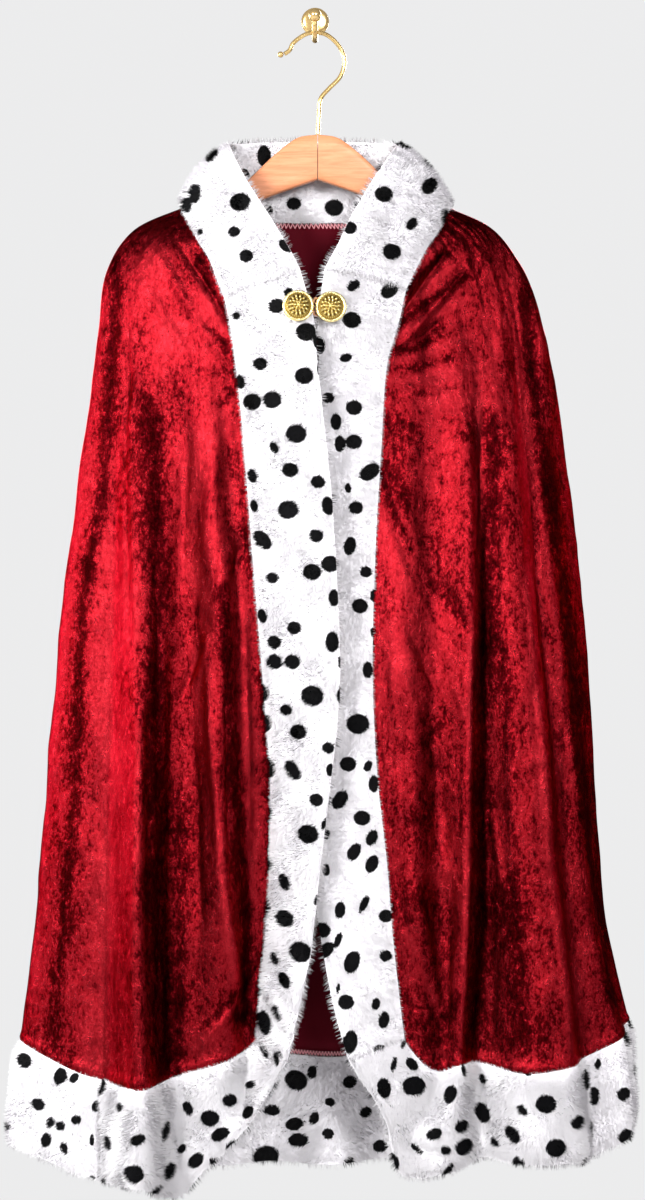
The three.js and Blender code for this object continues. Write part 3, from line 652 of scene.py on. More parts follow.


# Painted highlights (above 0) and painted shade (below 0) along the velvet's folds, given as pile brushed up
# and bright or down and dark: half width in pixels, share, and the corners of a broken line in pixels.
SIDE_NAP_AND_FOLD_LIGHT = [
    (7, -1.0, [(117, 262), (113, 330), (108, 420), (98, 520),
               (82, 600), (75, 800), (58, 977), (52, 1050)]),
    (19, 0.75, [(116, 560), (112, 700), (110, 820), (104, 960), (100, 1060)]),
    (5, 0.5, [(104, 300), (92, 400), (76, 520), (58, 680), (46, 820), (32, 1000)]),
    (9, -1.0, [(523, 290), (536, 400), (547, 470), (560, 560),
               (569, 640), (580, 780), (597, 900), (616, 1000)]),
    (4, 0.6, [(512, 260), (520, 370), (534, 470), (550, 560),
               (561, 660), (572, 770), (590, 898), (630, 1030)]),
]
FRONT_NAP_AND_FOLD_LIGHT = SIDE_NAP_AND_FOLD_LIGHT + [
    (13, -0.9, [(146, 400), (154, 480), (160, 570), (155, 640), (157, 800), (160, 950), (160, 1080)]),
    (7, -0.6, [(180, 800), (182, 940), (176, 1060)]),
    (16, 0.45, [(150, 250), (160, 300), (175, 360)]),
    (12, 0.5, [(205, 300), (208, 400), (196, 500), (190, 570)]),
    (6, -0.9, [(200, 262), (216, 296), (232, 326)]),
    (4, 0.7, [(190, 262), (208, 300), (226, 334)]),
    (5, -0.8, [(214, 330), (226, 346), (236, 356)]),
    (7, -0.7, [(216, 404), (228, 394), (238, 384)]),
    (9, -0.8, [(229, 452), (245, 490), (250, 570)]),
    (8, 0.7, [(194, 570), (204, 600), (208, 640)]),
    (5, 1.0, [(198, 656), (206, 730), (213, 810), (224, 900), (234, 985)]),
    (7, -0.9, [(222, 590), (227, 660), (236, 800), (246, 940), (246, 1010)]),
    (5, 0.7, [(244, 600), (247, 700), (251, 800), (252, 900)]),
    (4, -0.9, [(261, 680), (268, 780), (272, 880)]),
    (5, 0.6, [(238, 1000), (218, 1024), (196, 1048)]),
    (6, -0.7, [(250, 980), (226, 1008), (204, 1028)]),
    (5, -0.7, [(98, 980), (90, 1020), (84, 1056)]),
    (14, 0.5, [(455, 290), (440, 400), (450, 470)]),
    (4, 0.9, [(395, 296), (414, 268), (438, 244)]),
    (4, -1.0, [(394, 308), (416, 280), (444, 254)]),
    (4, 0.9, [(393, 320), (422, 290), (452, 266)]),
    (4, -1.0, [(391, 332), (424, 304), (466, 276)]),
    (4, 0.9, [(390, 342), (420, 322), (466, 298)]),
    (4, -1.0, [(388, 352), (412, 350), (446, 336)]),
    (3, 0.8, [(390, 360), (420, 356), (470, 336)]),
    (4, -0.9, [(388, 368), (412, 370), (452, 358)]),
    (4, 0.7, [(386, 380), (424, 378), (474, 368)]),
    (3, -0.8, [(384, 392), (412, 396), (456, 386)]),
    (4, 0.6, [(384, 406), (430, 404), (478, 398)]),
    (3, -0.7, [(382, 420), (416, 424), (452, 420)]),
    (3, -0.6, [(420, 440), (446, 440), (472, 436)]),
    (8, -0.7, [(382, 470), (396, 480), (408, 504)]),
    (9, 0.7, [(380, 516), (388, 550), (404, 590)]),
    (13, 0.7, [(396, 630), (408, 680), (410, 730)]),
    (3, -1.0, [(382, 478), (396, 520), (412, 552)]),
    (3, -1.0, [(430, 580), (452, 606), (470, 630)]),
    (3, 0.9, [(479, 400), (478, 560), (471, 640), (469, 805), (464, 990), (462, 1046)]),
    (9, -0.8, [(492, 420), (492, 520), (488, 640), (484, 805), (478, 990), (472, 1050)]),
    (6, 0.9, [(517, 414), (527, 486), (532, 640), (542, 768), (553, 879), (568, 990), (573, 1050)]),
    (7, -0.6, [(505, 640), (508, 760), (514, 900), (524, 1040)]),
    (7, -0.7, [(546, 600), (556, 740), (574, 890), (594, 1010)]),
    (24, -0.4, [(420, 900), (430, 1040)]),
    (26, -0.4, [(510, 900), (520, 1040)]),
    (4, 0.6, [(408, 930), (420, 970), (440, 1010)]),
]
# The back has painted highlight and shade strokes of its own besides those of the sides.
BACK_NAP_AND_FOLD_LIGHT = SIDE_NAP_AND_FOLD_LIGHT + [
    (15, 0.5, [(184, 300), (170, 520), (168, 760), (146, 1040)]),
    (9, -0.45, [(215, 300), (214, 430), (206, 560), (208, 700)]),
    (22, 0.35, [(256, 280), (262, 500), (250, 760), (262, 1050)]),
    (8, -0.6, [(300, 640), (298, 760), (308, 900), (310, 1050)]),
    (26, 0.55, [(346, 300), (360, 460), (352, 640), (364, 800)]),
    (14, 0.3, [(352, 820), (372, 900), (366, 980), (380, 1050)]),
    (9, -0.5, [(404, 300), (402, 480), (416, 620), (412, 780)]),
    (18, 0.5, [(440, 420), (450, 600), (470, 800), (468, 1050)]),
    (8, -0.55, [(478, 300), (500, 520), (506, 700), (522, 900)]),
]


def nap_and_fold_light_strokes(places, rows):
    """Sum of bells about broken lines: share times exp of minus distance over half width squared."""
    total = np.zeros(places.shape[:-1])
    for width, share, corners in rows:
        away = np.full(places.shape[:-1], np.inf)
        for start, end in zip(corners, corners[1:]):
            step = np.subtract(end, start).astype(float)
            along = np.clip(((places - start) @ step) / (step @ step), 0, 1)
            away = np.minimum(away, np.linalg.norm(places - start - along[..., None] * step, axis=-1))
        total += share * np.exp(-((away / width) ** 2))
    return np.clip(total, -1, 1)


def creases(places, rows):
    """Sum of bells across lines: height times exp of minus distance over width squared, faded at ends."""
    total = np.zeros(places.shape[:-1])
    for x0, y0, x1, y1, width, height in rows:
        start = np.array((x0, y0), float)
        step = np.array((x1, y1), float) - start
        along = np.clip(((places - start) @ step) / (step @ step), 0, 1)
        away = np.linalg.norm(places - start - along[..., None] * step, axis=-1) * PIXEL
        fade = np.sqrt(np.sin(math.pi * np.clip(along, 0.02, 0.98)))
        total += height * np.exp(-((away / width) ** 2)) * fade
    return total


def rumple(a, b, seed):
    """Smooth value noise from -1 to 1: random heights on a square lattice, blended between corners."""
    lattice = np.random.default_rng(seed).uniform(-1, 1, (64, 64))
    i, j = np.floor(a).astype(int), np.floor(b).astype(int)
    s, r = smoothstep(a - i, 0, 1), smoothstep(b - j, 0, 1)
    corner = lambda di, dj: lattice[(i + di) % 64, (j + dj) % 64]
    return mix(mix(corner(0, 0), corner(1, 0), s), mix(corner(0, 1), corner(1, 1), s), r)


VELVET_THICK = 1.2
# Rough lengths of cloth that turn fold and station numbers into distances for the relief.
FOLD_WIDTH = 22
STATION_HEIGHT = 80
HEM_STATION_HEIGHT = 57
# The rolled edge above the hem's seam: how far it stands out, and its middle's height and half width.
ROLL_HEIGHT = 1.3
ROLL_MIDDLE = 3


def velvet_panel(name, first, last, columns, rows, crease_rows, fold_light_rows, seed):
    """One panel: the cloth between two fold lines, moved along its normal by creases and a rolled hem."""
    u = np.linspace(first, last, columns)
    t = np.linspace(0, CLOTH_END, rows)
    middle = velvet_surface(u, t)
    relief = creases(photo_place(middle), crease_rows)
    across = np.broadcast_to(u[:, None] * FOLD_WIDTH, relief.shape)
    height = -middle[..., 2]
    relief += 0.9 * rumple(across / 17, height / 46, seed)
    relief += 0.4 * rumple(across / 7, height / 15, seed + 1)
    edge = np.minimum(u - first, last - u)[:, None] * FOLD_WIDTH
    ends = np.minimum(t, CLOTH_END - t)[None, :] * STATION_HEIGHT
    relief *= smoothstep(edge, 0, 12) * smoothstep(ends, 0, 14)
    above_hem = (CLOTH_END - t)[None, :] * HEM_STATION_HEIGHT
    roll = np.exp(-(((above_hem - ROLL_MIDDLE) / ROLL_MIDDLE) ** 2))
    relief += ROLL_HEIGHT * roll * smoothstep(edge, 0, 6)
    middle = middle + grid_normals(middle) * relief[..., None]
    shell = wall(middle, VELVET_THICK / 2, False)
    # The second mark is painted fold highlights and painted shade from the stroke tables.
    piece = add_piece(
        name + "_cloth",
        shell["points"],
        shell["quads"],
        material=velvet_material,
        finish="velvet",
        marks={"side": shell["side"], "nap_and_fold_light": nap_and_fold_light_strokes(photo_place(shell["points"]), fold_light_rows)},
    )
    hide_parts(name)
    return piece, shell


# Each panel: its first and last fold line, columns, rows, creases, strokes of painted fold light and seed.
VELVET_PANELS = {
    "velvet_front_left": (0, LEFT_SEAM, 84, 280, CREASES, FRONT_NAP_AND_FOLD_LIGHT, 11),
    "velvet_front_right": (RIGHT_SEAM, LAST, 90, 280, CREASES, FRONT_NAP_AND_FOLD_LIGHT, 23),
    "velvet_back": (LEFT_SEAM, RIGHT_SEAM, 190, 170, BACK_CREASES, BACK_NAP_AND_FOLD_LIGHT, 37),
}
velvet_pieces = {name: velvet_panel(name, *settings) for name, settings in VELVET_PANELS.items()}

# The fur: folded double, thinnest at its seam and round at its folded edge. The backing sits inside
# the solid's outline so that the pile's tips reach it.
FUR_SEAM_THICK = 2.4
FUR_EDGE_THICK = 4
PILE_REACH = 2.6
THINNEST_HALF = 0.55
FOLD_START = 0.82  # where the strip's rounded edge begins


def fur_half(v, thick):
    """Half the backing's thickness at v: rising from the seam, level, then an ellipse's quarter."""
    rising = smoothstep(v, -0.04, 0.16)
    over = np.maximum(v - FOLD_START, 0) / (1 - FOLD_START)
    rounded = np.sqrt(np.maximum(1 - over**2, 0))
    full = mix(FUR_SEAM_THICK, thick, rising) / 2
    body = full * np.maximum(rounded, FUR_EDGE_THICK / thick)
    return np.maximum(body - PILE_REACH * rising, THINNEST_HALF)


FUR_CREASES = [
    (264, 993, 281, 1026, 3.4, -2.6), (281, 1026, 294, 1042, 3.4, -2.2), (272, 990, 290, 1020, 4, 1.6),
    (412, 1143, 449, 1153, 3.6, -2.4), (414, 1132, 450, 1142, 4.5, 2.0),
    (300, 520, 304, 640, 6, -1.2), (262, 420, 266, 560, 6, 1.0), (350, 400, 346, 560, 6, -1.0),
    (370, 640, 374, 780, 6, 1.0), (290, 760, 300, 900, 6, -1.1), (30, 1090, 34, 1150, 7, -1.4),
    (140, 1110, 146, 1190, 8, 1.4), (215, 1080, 222, 1150, 7, -1.4), (500, 1090, 504, 1160, 8, 1.2),
    (560, 1090, 566, 1165, 7, -1.3), (620, 1070, 622, 1140, 7, 1.2), (230, 170, 250, 230, 6, -1.0),
    (400, 180, 380, 250, 6, -1.0),
]


def fur_panel(name, surface, a_values, thick, turned, seed):
    """A fur strip: the shell over its middle surface, with soft dents."""
    level = np.linspace(0, FOLD_START, 24)[:-1]
    rounded = FOLD_START + (1 - FOLD_START) * np.sin(np.linspace(0, math.pi / 2, 8))
    v = np.concatenate([level, rounded])
    middle = surface(a_values, v)
    relief = creases(photo_place(middle), FUR_CREASES)
    along, across = np.broadcast_arrays(a_values[:, None] * 2.2, v * 3)
    relief += 0.8 * rumple(along, across, seed)
    relief *= smoothstep(v, 0, 0.15)[None, :]
    middle = middle + grid_normals(middle) * relief[..., None] * (-1 if turned else 1)
    half = fur_half(v, thick)[None, :]
    shell = wall(middle, half, turned)
    shell["normals"] = point_normals(shell["points"], shell["quads"])
    shell["name"] = name
    shell["across"] = np.tile(v, 2 * len(a_values))
    return shell


COLLAR_THICK = 11
BAND_THICK = 10
HEM_THICK = 11
down_the_band = np.linspace(0, BAND_END, 200)
fur_shells = [
    fur_panel("fur_collar", collar_surface, np.linspace(0, LAST, 200), COLLAR_THICK, True, 3),
    fur_panel("fur_band_left", band_surface(False, 4), down_the_band, BAND_THICK, False, 5),
    fur_panel("fur_band_right", band_surface(True, 2), down_the_band, BAND_THICK, True, 7),
    fur_panel("fur_hem_left", hem_surface, np.linspace(0, LEFT_SEAM, 90), HEM_THICK, False, 9),
    fur_panel("fur_hem_back", hem_surface, np.linspace(LEFT_SEAM, RIGHT_SEAM, 240), HEM_THICK, False, 13),
    fur_panel("fur_hem_right", hem_surface, np.linspace(RIGHT_SEAM, LAST, 110), HEM_THICK, False, 15),
]

# The spots that the photograph shows, read from enlarged views with a ruler, to 2 pixels.
# Round spots: x, y and half length.
ROUND_SPOTS = [
    (200, 232, 3), (240, 202, 10), (234, 232, 6), (246, 256, 7), (294, 204, 7), (334, 208, 9),
    (350, 228, 7), (376, 166, 5), (384, 194, 9), (392, 252, 9), (276, 306, 8), (236, 316, 4),
    (352, 320, 9), (306, 332, 10), (260, 364, 7), (304, 376, 9), (328, 398, 6), (272, 400, 9),
    (252, 402, 9), (354, 408, 8), (296, 434, 10), (354, 442, 8), (290, 470, 8), (318, 482, 7),
    (288, 510, 10), (356, 508, 7), (316, 536, 7), (330, 564, 9), (366, 572, 6), (312, 572, 9),
    (272, 578, 6), (360, 606, 8), (294, 628, 7), (274, 642, 7), (292, 662, 8), (274, 662, 8),
    (312, 696, 11), (286, 710, 6), (358, 724, 11), (298, 732, 8), (328, 748, 6), (348, 764, 8),
    (316, 800, 7), (362, 818, 8), (308, 834, 10), (284, 918, 9), (386, 916, 7), (322, 930, 8),
    (300, 952, 11), (386, 956, 6), (346, 1002, 8), (380, 1050, 6), (24, 1060, 8), (38, 1104, 7),
    (76, 1120, 5), (60, 1126, 5), (6, 1126, 4), (134, 1174, 10), (92, 1178, 3), (230, 1100, 7),
    (210, 1118, 9), (296, 1080, 11), (350, 1082, 7), (330, 1102, 5), (366, 1112, 6), (250, 1132, 5),
    (328, 1134, 6), (266, 1156, 12), (380, 1146, 7), (414, 1086, 11), (546, 1104, 10), (634, 1070, 4),
    (624, 1094, 7), (578, 1122, 7), (462, 1126, 7), (626, 1136, 8), (464, 1146, 9), (446, 1150, 5),
    (556, 1148, 10),
]
# Ovals and narrow spots have the turn of the long axis too, from the right, clockwise in degrees.
OVAL_SPOTS = [
    (212, 156, 8, 120), (264, 156, 10, 90), (194, 194, 10, 90), (186, 206, 8, 75), (286, 246, 8, 40),
    (430, 186, 10, 130), (412, 224, 7, 130), (354, 286, 7, 145), (390, 290, 10, 140), (288, 292, 5, 150),
    (320, 342, 10, 75), (346, 358, 6, 165), (240, 382, 7, 75), (336, 422, 8, 90), (340, 444, 8, 90),
    (274, 448, 6, 60), (370, 472, 11, 145), (252, 476, 7, 70), (348, 488, 5, 90), (328, 506, 9, 80),
    (254, 506, 6, 80), (262, 540, 11, 45), (350, 546, 9, 105), (334, 598, 8, 90), (374, 596, 6, 90),
    (262, 616, 7, 75), (332, 642, 10, 90), (368, 670, 8, 90), (342, 696, 8, 90), (368, 766, 6, 125),
    (292, 770, 10, 55), (330, 770, 6, 90), (374, 784, 8, 90), (340, 800, 10, 125), (372, 838, 8, 115),
    (354, 852, 9, 120), (326, 870, 6, 90), (372, 864, 9, 115), (284, 882, 8, 70), (340, 910, 8, 100),
    (326, 950, 9, 130), (274, 958, 6, 65), (352, 962, 11, 110), (284, 980, 8, 65), (376, 1004, 6, 100),
    (384, 1020, 8, 100), (264, 1022, 11, 80), (350, 1042, 11, 100), (60, 1076, 9, 110), (74, 1078, 6, 130),
    (96, 1106, 6, 110), (120, 1106, 5, 110), (50, 1122, 6, 110), (188, 1108, 7, 70), (46, 1140, 8, 110),
    (64, 1148, 6, 80), (108, 1142, 7, 85), (138, 1140, 8, 155), (182, 1148, 5, 125), (170, 1170, 8, 100),
    (196, 1160, 9, 135), (250, 1084, 5, 155), (248, 1112, 7, 125), (220, 1134, 9, 155), (312, 1072, 7, 105),
    (272, 1110, 8, 10), (314, 1118, 7, 120), (294, 1124, 9, 155), (298, 1140, 10, 165), (216, 1162, 6, 10),
    (392, 1162, 10, 75), (384, 1088, 10, 80), (412, 1064, 7, 45), (482, 1078, 5, 70), (450, 1094, 9, 110),
    (482, 1112, 10, 70), (522, 1110, 6, 45), (598, 1064, 5, 90), (594, 1096, 9, 90), (512, 1134, 9, 55),
    (434, 1134, 8, 160), (494, 1142, 5, 60),
]
NARROW_SPOTS = [
    (402, 144, 10, 30), (320, 368, 8, 90), (330, 462, 4, 90), (372, 632, 5, 90), (340, 662, 6, 90),
    (338, 742, 6, 90), (324, 824, 6, 110), (316, 900, 6, 110), (364, 904, 9, 115), (338, 940, 8, 110),
    (338, 988, 5, 100), (276, 1012, 8, 65), (264, 1048, 9, 70), (276, 1058, 7, 80), (394, 1064, 7, 105),
    (404, 1042, 6, 110), (100, 1114, 6, 90), (92, 1140, 6, 90), (166, 1130, 9, 100), (14, 1150, 5, 35),
    (196, 1188, 8, 125), (154, 1192, 9, 150), (232, 1144, 7, 145), (464, 1070, 6, 75), (528, 1074, 5, 30),
    (586, 1080, 10, 80), (590, 1126, 6, 90), (416, 1148, 7, 40), (448, 1170, 8, 135),
]
# Each kind of spot: its rows, and its width as a share of its length.
SPOT_KINDS = (
    ([(*row, 0) for row in ROUND_SPOTS], 0.88),
    (OVAL_SPOTS, 0.65),
    (NARROW_SPOTS, 0.38),
)


def towards_camera(points, normals):
    """How squarely each point faces the camera: the cosine between its normal and the way there."""
    return (normals * unit(np.array(CAMERA_PLACE) / METRES - points)).sum(axis=-1)


# How far back the nearest cloth is, in cells of a few pixels, with room for cloth past the picture.
DEPTH_CELL = 4
DEPTH_MARGIN = 10
depth_size = [length // DEPTH_CELL + 4 * DEPTH_MARGIN for length in (PHOTO_WIDTH, PHOTO_HEIGHT)]
depth = np.full(depth_size, np.inf)


def depth_cells(points):
    """The cells of the depth map that points fall in."""
    cells = np.floor(photo_place(points) / DEPTH_CELL).astype(int) + DEPTH_MARGIN
    return tuple(np.clip(cells[..., k], 0, depth.shape[k] - 1) for k in (0, 1))


for shell in fur_shells + [made for _, made in velvet_pieces.values()]:
    np.minimum.at(depth, depth_cells(shell["points"]), shell["points"][:, 1])


# Fur is seen where it faces the camera by more than this cosine, and seen well above the higher one.
SEEN_FACING = 0.05
WELL_SEEN_FACING = 0.12
# How far behind the nearest fur a place is still in the same layer, and behind the nearest cloth.
SAME_LAYER = 9
COVERED = 16


def charted_spots():
    """Each charted spot goes to the nearest fur face that the camera sees at its pixel."""
    points = np.concatenate([s["points"] for s in fur_shells])
    normals = np.concatenate([s["normals"] for s in fur_shells])
    owner = np.concatenate([np.full(len(s["points"]), k) for k, s in enumerate(fur_shells)])
    side = np.concatenate([s["side"] for s in fur_shells])
    places = photo_place(points)
    facing = towards_camera(points, normals) > SEEN_FACING
    found = []
    charted = [(*row, row[2] * share) for rows, share in SPOT_KINDS for row in rows]
    for x, y, long, turn, wide in charted:
        away = np.linalg.norm(places - (x, y), axis=1)
        near = facing & (away < max(5, away[facing].min() + 2))
        front = points[near, 1].min()
        near &= points[:, 1] < front + SAME_LAYER
        best = np.flatnonzero(near)[away[near].argmin()]
        scale = PIXEL * share_of_reach(points[best, 1])
        angle = math.radians(turn)
        centre = points[best].copy()
        centre[0] += (x - places[best, 0]) * scale
        centre[2] -= (y - places[best, 1]) * scale
        axis = np.array((math.cos(angle), 0, -math.sin(angle)))
        found.append((owner[best], side[best], centre, axis, long * scale, wide * scale, True))
    return found


SPOT_SPACING = 23
SPOT_TRIES = 900
# A charted spot marks fur up to this far before and behind its middle, a hidden one this far round it.
SPOT_DEPTH = 14
SPOT_SWELL = 1.05


def hidden_spots(found):
    """Spots on faces that the photograph hides: thrown at random, at least the spacing apart."""
    rng = np.random.default_rng(71)
    for k, shell in enumerate(fur_shells):
        facing = towards_camera(shell["points"], shell["normals"]) > WELL_SEEN_FACING
        uncovered = shell["points"][:, 1] < depth[depth_cells(shell["points"])] + COVERED
        hidden = np.flatnonzero(~(facing & uncovered))
        taken = [(spot[2], spot[1]) for spot in found if spot[0] == k]
        for pick in rng.choice(hidden, min(SPOT_TRIES, len(hidden)), replace=False):
            centre, side = shell["points"][pick], shell["side"][pick]
            if all(s != side or np.linalg.norm(centre - c) > SPOT_SPACING for c, s in taken):
                taken.append((centre, side))
                axis = unit(rng.normal(size=3))
                long = rng.uniform(5, 8.5)
                found.append((k, side, centre, axis, long, long * rng.uniform(0.7, 1), False))
    return found


spots = hidden_spots(charted_spots())


def spot_depth(k, points, sides):
    """How deep each point lies in a spot of shell k: 1.05 at its middle, 0 just past its outline.

    Points far from any spot have -1.
    """
    depths = np.full(len(points), -1.0)
    for owner, side, centre, axis, long, wide, flat in spots:
        if owner != k:
            continue
        offset = points - centre
        if flat:
            close = abs(offset[:, 1]) < SPOT_DEPTH
            offset = offset * (1, 0, 1)
        else:
            close = np.linalg.norm(offset, axis=1) < SPOT_DEPTH
        along = offset @ axis
        across = np.sqrt(np.maximum((offset**2).sum(axis=1) - along**2, 0))
        reach = np.sqrt((along / long) ** 2 + (across / wide) ** 2)
        close &= abs(sides - side) < 0.5
        depths = np.where(close, np.maximum(depths, SPOT_SWELL - reach), depths)
    return depths


TUFT = 5.0
STRAND_LENGTHS = (4.0, 5.8)
STRAND_HALF_BREADTHS = (0.26, 0.44)


def pile(shell, k, count, inner_share, seed):
    """Strands of the pile: thin triangles from random places, pulled towards the middle of their tuft."""
    rng = np.random.default_rng(seed)
    points, quads, normals = shell["points"], shell["quads"], shell["normals"]
    first, second, third, fourth = (points[quads[:, corner]] for corner in range(4))
    diagonals = np.cross(third - first, fourth - second)
    quad_side = shell["side"][quads].mean(axis=1)
    weight = np.linalg.norm(diagonals, axis=1) * np.where(quad_side > 0.6, inner_share, 1)
    chosen = quads[rng.choice(len(quads), count, p=weight / weight.sum())]
    s, r = rng.random(count)[:, None], rng.random(count)[:, None]

    def between(values):
        low = mix(values[chosen[:, 0]], values[chosen[:, 1]], s)
        high = mix(values[chosen[:, 3]], values[chosen[:, 2]], s)
        return mix(low, high, r)

    root = between(points)
    normal = unit(between(normals))
    side = between(shell["side"][:, None])[:, 0]
    x, y, z = root.T / 10
    swirl = np.stack(
        [np.sin(x * 1.3 + z * 0.9), np.sin(y * 1.7 + z * 0.6), np.cos(x * 0.8 - z * 1.4)],
        axis=1,
    )
    lean = np.array((0, 0, -0.3)) + 0.22 * swirl + rng.normal(0, 0.13, (count, 3))
    lean -= normal * (lean * normal).sum(axis=1, keepdims=True)
    from_seam = smoothstep(between(shell["across"][:, None]), 0, 0.1)
    length = rng.uniform(*STRAND_LENGTHS, (count, 1)) * mix(0.5, 1, from_seam)
    tip = root + unit(normal + lean) * length
    pull = (np.floor(root / TUFT) + 0.5) * TUFT - root
    pull -= normal * (pull * normal).sum(axis=1, keepdims=True)
    tip += pull * 0.1
    breadth = unit(np.cross(tip - root, normal) + rng.normal(0, 0.6, (count, 3)))
    breadth *= rng.uniform(*STRAND_HALF_BREADTHS, (count, 1))
    base = root - normal * 0.3
    corners = np.stack([base - breadth, base + breadth, tip], axis=1)
    dark = spot_depth(k, mix(root, tip, 0.6), side) + rng.normal(0.02, 0.035, count) > 0
    shaded = unit(normal * 6 + unit(tip - root))
    return corners, np.repeat(shaded[:, None], 3, axis=1), dark


# Strands on each strip, and how densely they grow on its inner face beside its outer one.
PILE = {
    "fur_collar": (86000, 0.95),
    "fur_band_left": (80000, 0.25),
    "fur_band_right": (68000, 0.25),
    "fur_hem_left": (52000, 0.35),
    "fur_hem_back": (104000, 0.8),
    "fur_hem_right": (58000, 0.35),
}


def fur_strip(k, shell):
    """Strip k: its backing, and its white and its black strands as two pieces."""
    name = shell["name"]
    spot = spot_depth(k, shell["points"], shell["side"])
    piece = add_piece(
        name + "_backing",
        shell["points"],
        shell["quads"],
        material=fur_material,
        finish="fur",
        marks={"spot": spot, "side": shell["side"]},
    )
    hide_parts(name)
    corners, shaded, dark = pile(shell, k, *PILE[name], 100 + k)
    strands = []
    colours = (("_pile", ~dark, white_strands), ("_pile_spots", dark, black_strands))
    for ending, chosen, material in colours:
        part = corners[chosen]
        triangles = np.arange(len(part) * 3).reshape(-1, 3)
        strand = add_piece(name + ending, part.reshape(-1, 3), (), triangles, material, "fur")
        strand.data.normals_split_custom_set_from_vertices(shaded[chosen].reshape(-1, 3))
        strands.append(strand)
    return piece, strands


fur_pieces = {shell["name"]: fur_strip(k, shell) for k, shell in enumerate(fur_shells)}


def tube(path, radius, plane, around):
    """A round bar along a path in one plane: rings across the path, closed by a fan at each end."""
    tangent = unit(np.gradient(path, axis=0))
    flat = np.cross(tangent, plane)
    angle = np.linspace(0, 2 * math.pi, around, endpoint=False)
    radius = np.broadcast_to(radius, (len(path),))[:, None, None]
    sideways = flat[:, None] * np.cos(angle)[None, :, None]
    ring = sideways + np.asarray(plane, float) * np.sin(angle)[None, :, None]
    points = (path[:, None] + ring * radius).reshape(-1, 3)
    return closed_rings(points, len(path), around, path[0], path[-1])


def closed_rings(points, rings, around, first, last):
    """Quads between rings of points, and a fan of triangles to a middle point at each end."""
    index = np.arange(rings * around).reshape(rings, around)
    turned = np.roll(index, -1, axis=1)
    quads = np.stack([index[:-1], index[1:], turned[1:], turned[:-1]], axis=-1).reshape(-1, 4)
    low = np.full(around, rings * around)
    fans = np.concatenate([
        np.stack([low, index[0], turned[0]], axis=-1),
        np.stack([low + 1, turned[-1], index[-1]], axis=-1),
    ])
    points = np.concatenate([points, [first], [last]])
    corners = points[quads[:, :3]]
    volume = (corners[:, 0] * np.cross(corners[:, 1], corners[:, 2])).sum() + (
        points[quads[:, 0]] * np.cross(points[quads[:, 2]], points[quads[:, 3]])
    ).sum()
    ends = points[fans]
    volume += (ends[:, 0] * np.cross(ends[:, 1], ends[:, 2])).sum()
    if volume < 0:
        quads, fans = quads[:, ::-1], fans[:, ::-1]
    return points, quads, fans


def turned_solid(profile, around, relief=None):
    """A profile of radius and height turned round the third axis; relief adds height by place."""
    profile = np.asarray(profile, float)
    angle = np.linspace(0, 2 * math.pi, around, endpoint=False)
    radius, height = profile[1:-1, 0][:, None], profile[1:-1, 1][:, None]
    tall = height + (relief(radius, angle[None, :]) if relief else 0 * angle)
    points = np.stack([radius * np.cos(angle), radius * np.sin(angle), tall], axis=-1).reshape(-1, 3)
    return closed_rings(points, len(profile) - 2, around, (0, 0, profile[0, 1]), (0, 0, profile[-1, 1]))


def overlock(name, u, stations):
    """Zigzag thread on the inside of a seam: each leg is a thin square bar between two stations."""
    grid = velvet_surface(u, np.array(stations))
    inner = grid - grid_normals(grid) * (VELVET_THICK / 2 + 0.5)
    step = np.arange(len(u))
    path = inner[step, step % 2]
    start, end = path[:-1], path[1:]
    normal = grid_normals(grid)[:-1, 0]
    side = unit(np.cross(end - start, normal)) * 0.42
    deep = normal * 0.4
    around = ((1, 1), (-1, 1), (-1, -1), (1, -1))
    corners = [place + a * side + b * deep for place in (start, end) for a, b in around]
    points = np.stack(corners, axis=1).reshape(-1, 3)
    sides = [(k, (k + 1) % 4, (k + 1) % 4 + 4, k + 4) for k in range(4)]
    box = np.array([(0, 3, 2, 1), (4, 5, 6, 7), *sides])
    quads = (box[None] + 8 * np.arange(len(start))[:, None, None]).reshape(-1, 4)
    add_piece(name, points, quads, (), thread, "velvet", smooth=False)


overlock("overlock_neck", np.linspace(LEFT_SEAM + 1, RIGHT_SEAM - 1, 230), (0.04, 0.36))
hem_stitches = np.linspace(LEFT_SEAM + 0.5, RIGHT_SEAM - 0.5, 620)
overlock("overlock_hem", hem_stitches, (CLOTH_END - 0.06, CLOTH_END - 0.012))

HANGER_Y = -32
# Each row of an arm: how far out it is, its upper and its lower edge, and its thickness.
ARM_ROWS = np.array([
    (0.3, -99.5, -136.5, 11), (16, -102, -142, 11), (33, -114, -148, 11), (50, -130, -155, 11),
    (68, -147, -163, 11), (88, -160, -173, 11), (112, -170.4, -184, 11), (134, -179.5, -194, 10),
    (149, -188.5, -200, 8), (155, -195, -200, 6),
])
ARM_SHIFT = 2.2
# Past this place the right arm is a little shorter and lower than the left one, by these shares.
ARM_BEND = 112
ARM_SHORTER = 0.14
ARM_LOWER = 0.08


def hanger_arm(name, sign):
    """An arm of the hanger: rings of a rounded oblong whose height and thickness follow its rows."""
    index = np.linspace(0, len(ARM_ROWS) - 1, 90)
    rows = smooth_line(ARM_ROWS, index)
    angle = np.linspace(0, 2 * math.pi, 40, endpoint=False)
    square = lambda value: np.sign(value) * abs(value) ** 0.42
    out, upper, lower, thick = (rows[:, k][:, None] for k in range(4))
    past = np.maximum(out - ARM_BEND, 0) if sign > 0 else 0 * out
    across = ARM_SHIFT + sign * (out - ARM_SHORTER * past)
    height = (upper + lower) / 2 - ARM_LOWER * past
    points = np.stack(
        [
            across + 0 * angle,
            HANGER_Y + thick / 2 * square(np.cos(angle)),
            height + (upper - lower) / 2 * square(np.sin(angle)),
        ],
        axis=-1,
    ).reshape(-1, 3)
    ends = [(across[k, 0], HANGER_Y, height[k, 0]) for k in (0, -1)]
    made = closed_rings(points, len(rows), len(angle), *ends)
    piece = add_piece(name + "_turned", *made, beech, "wood")
    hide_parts(name)


hanger_arm("hanger_arm_left", -1)
hanger_arm("hanger_arm_right", 1)

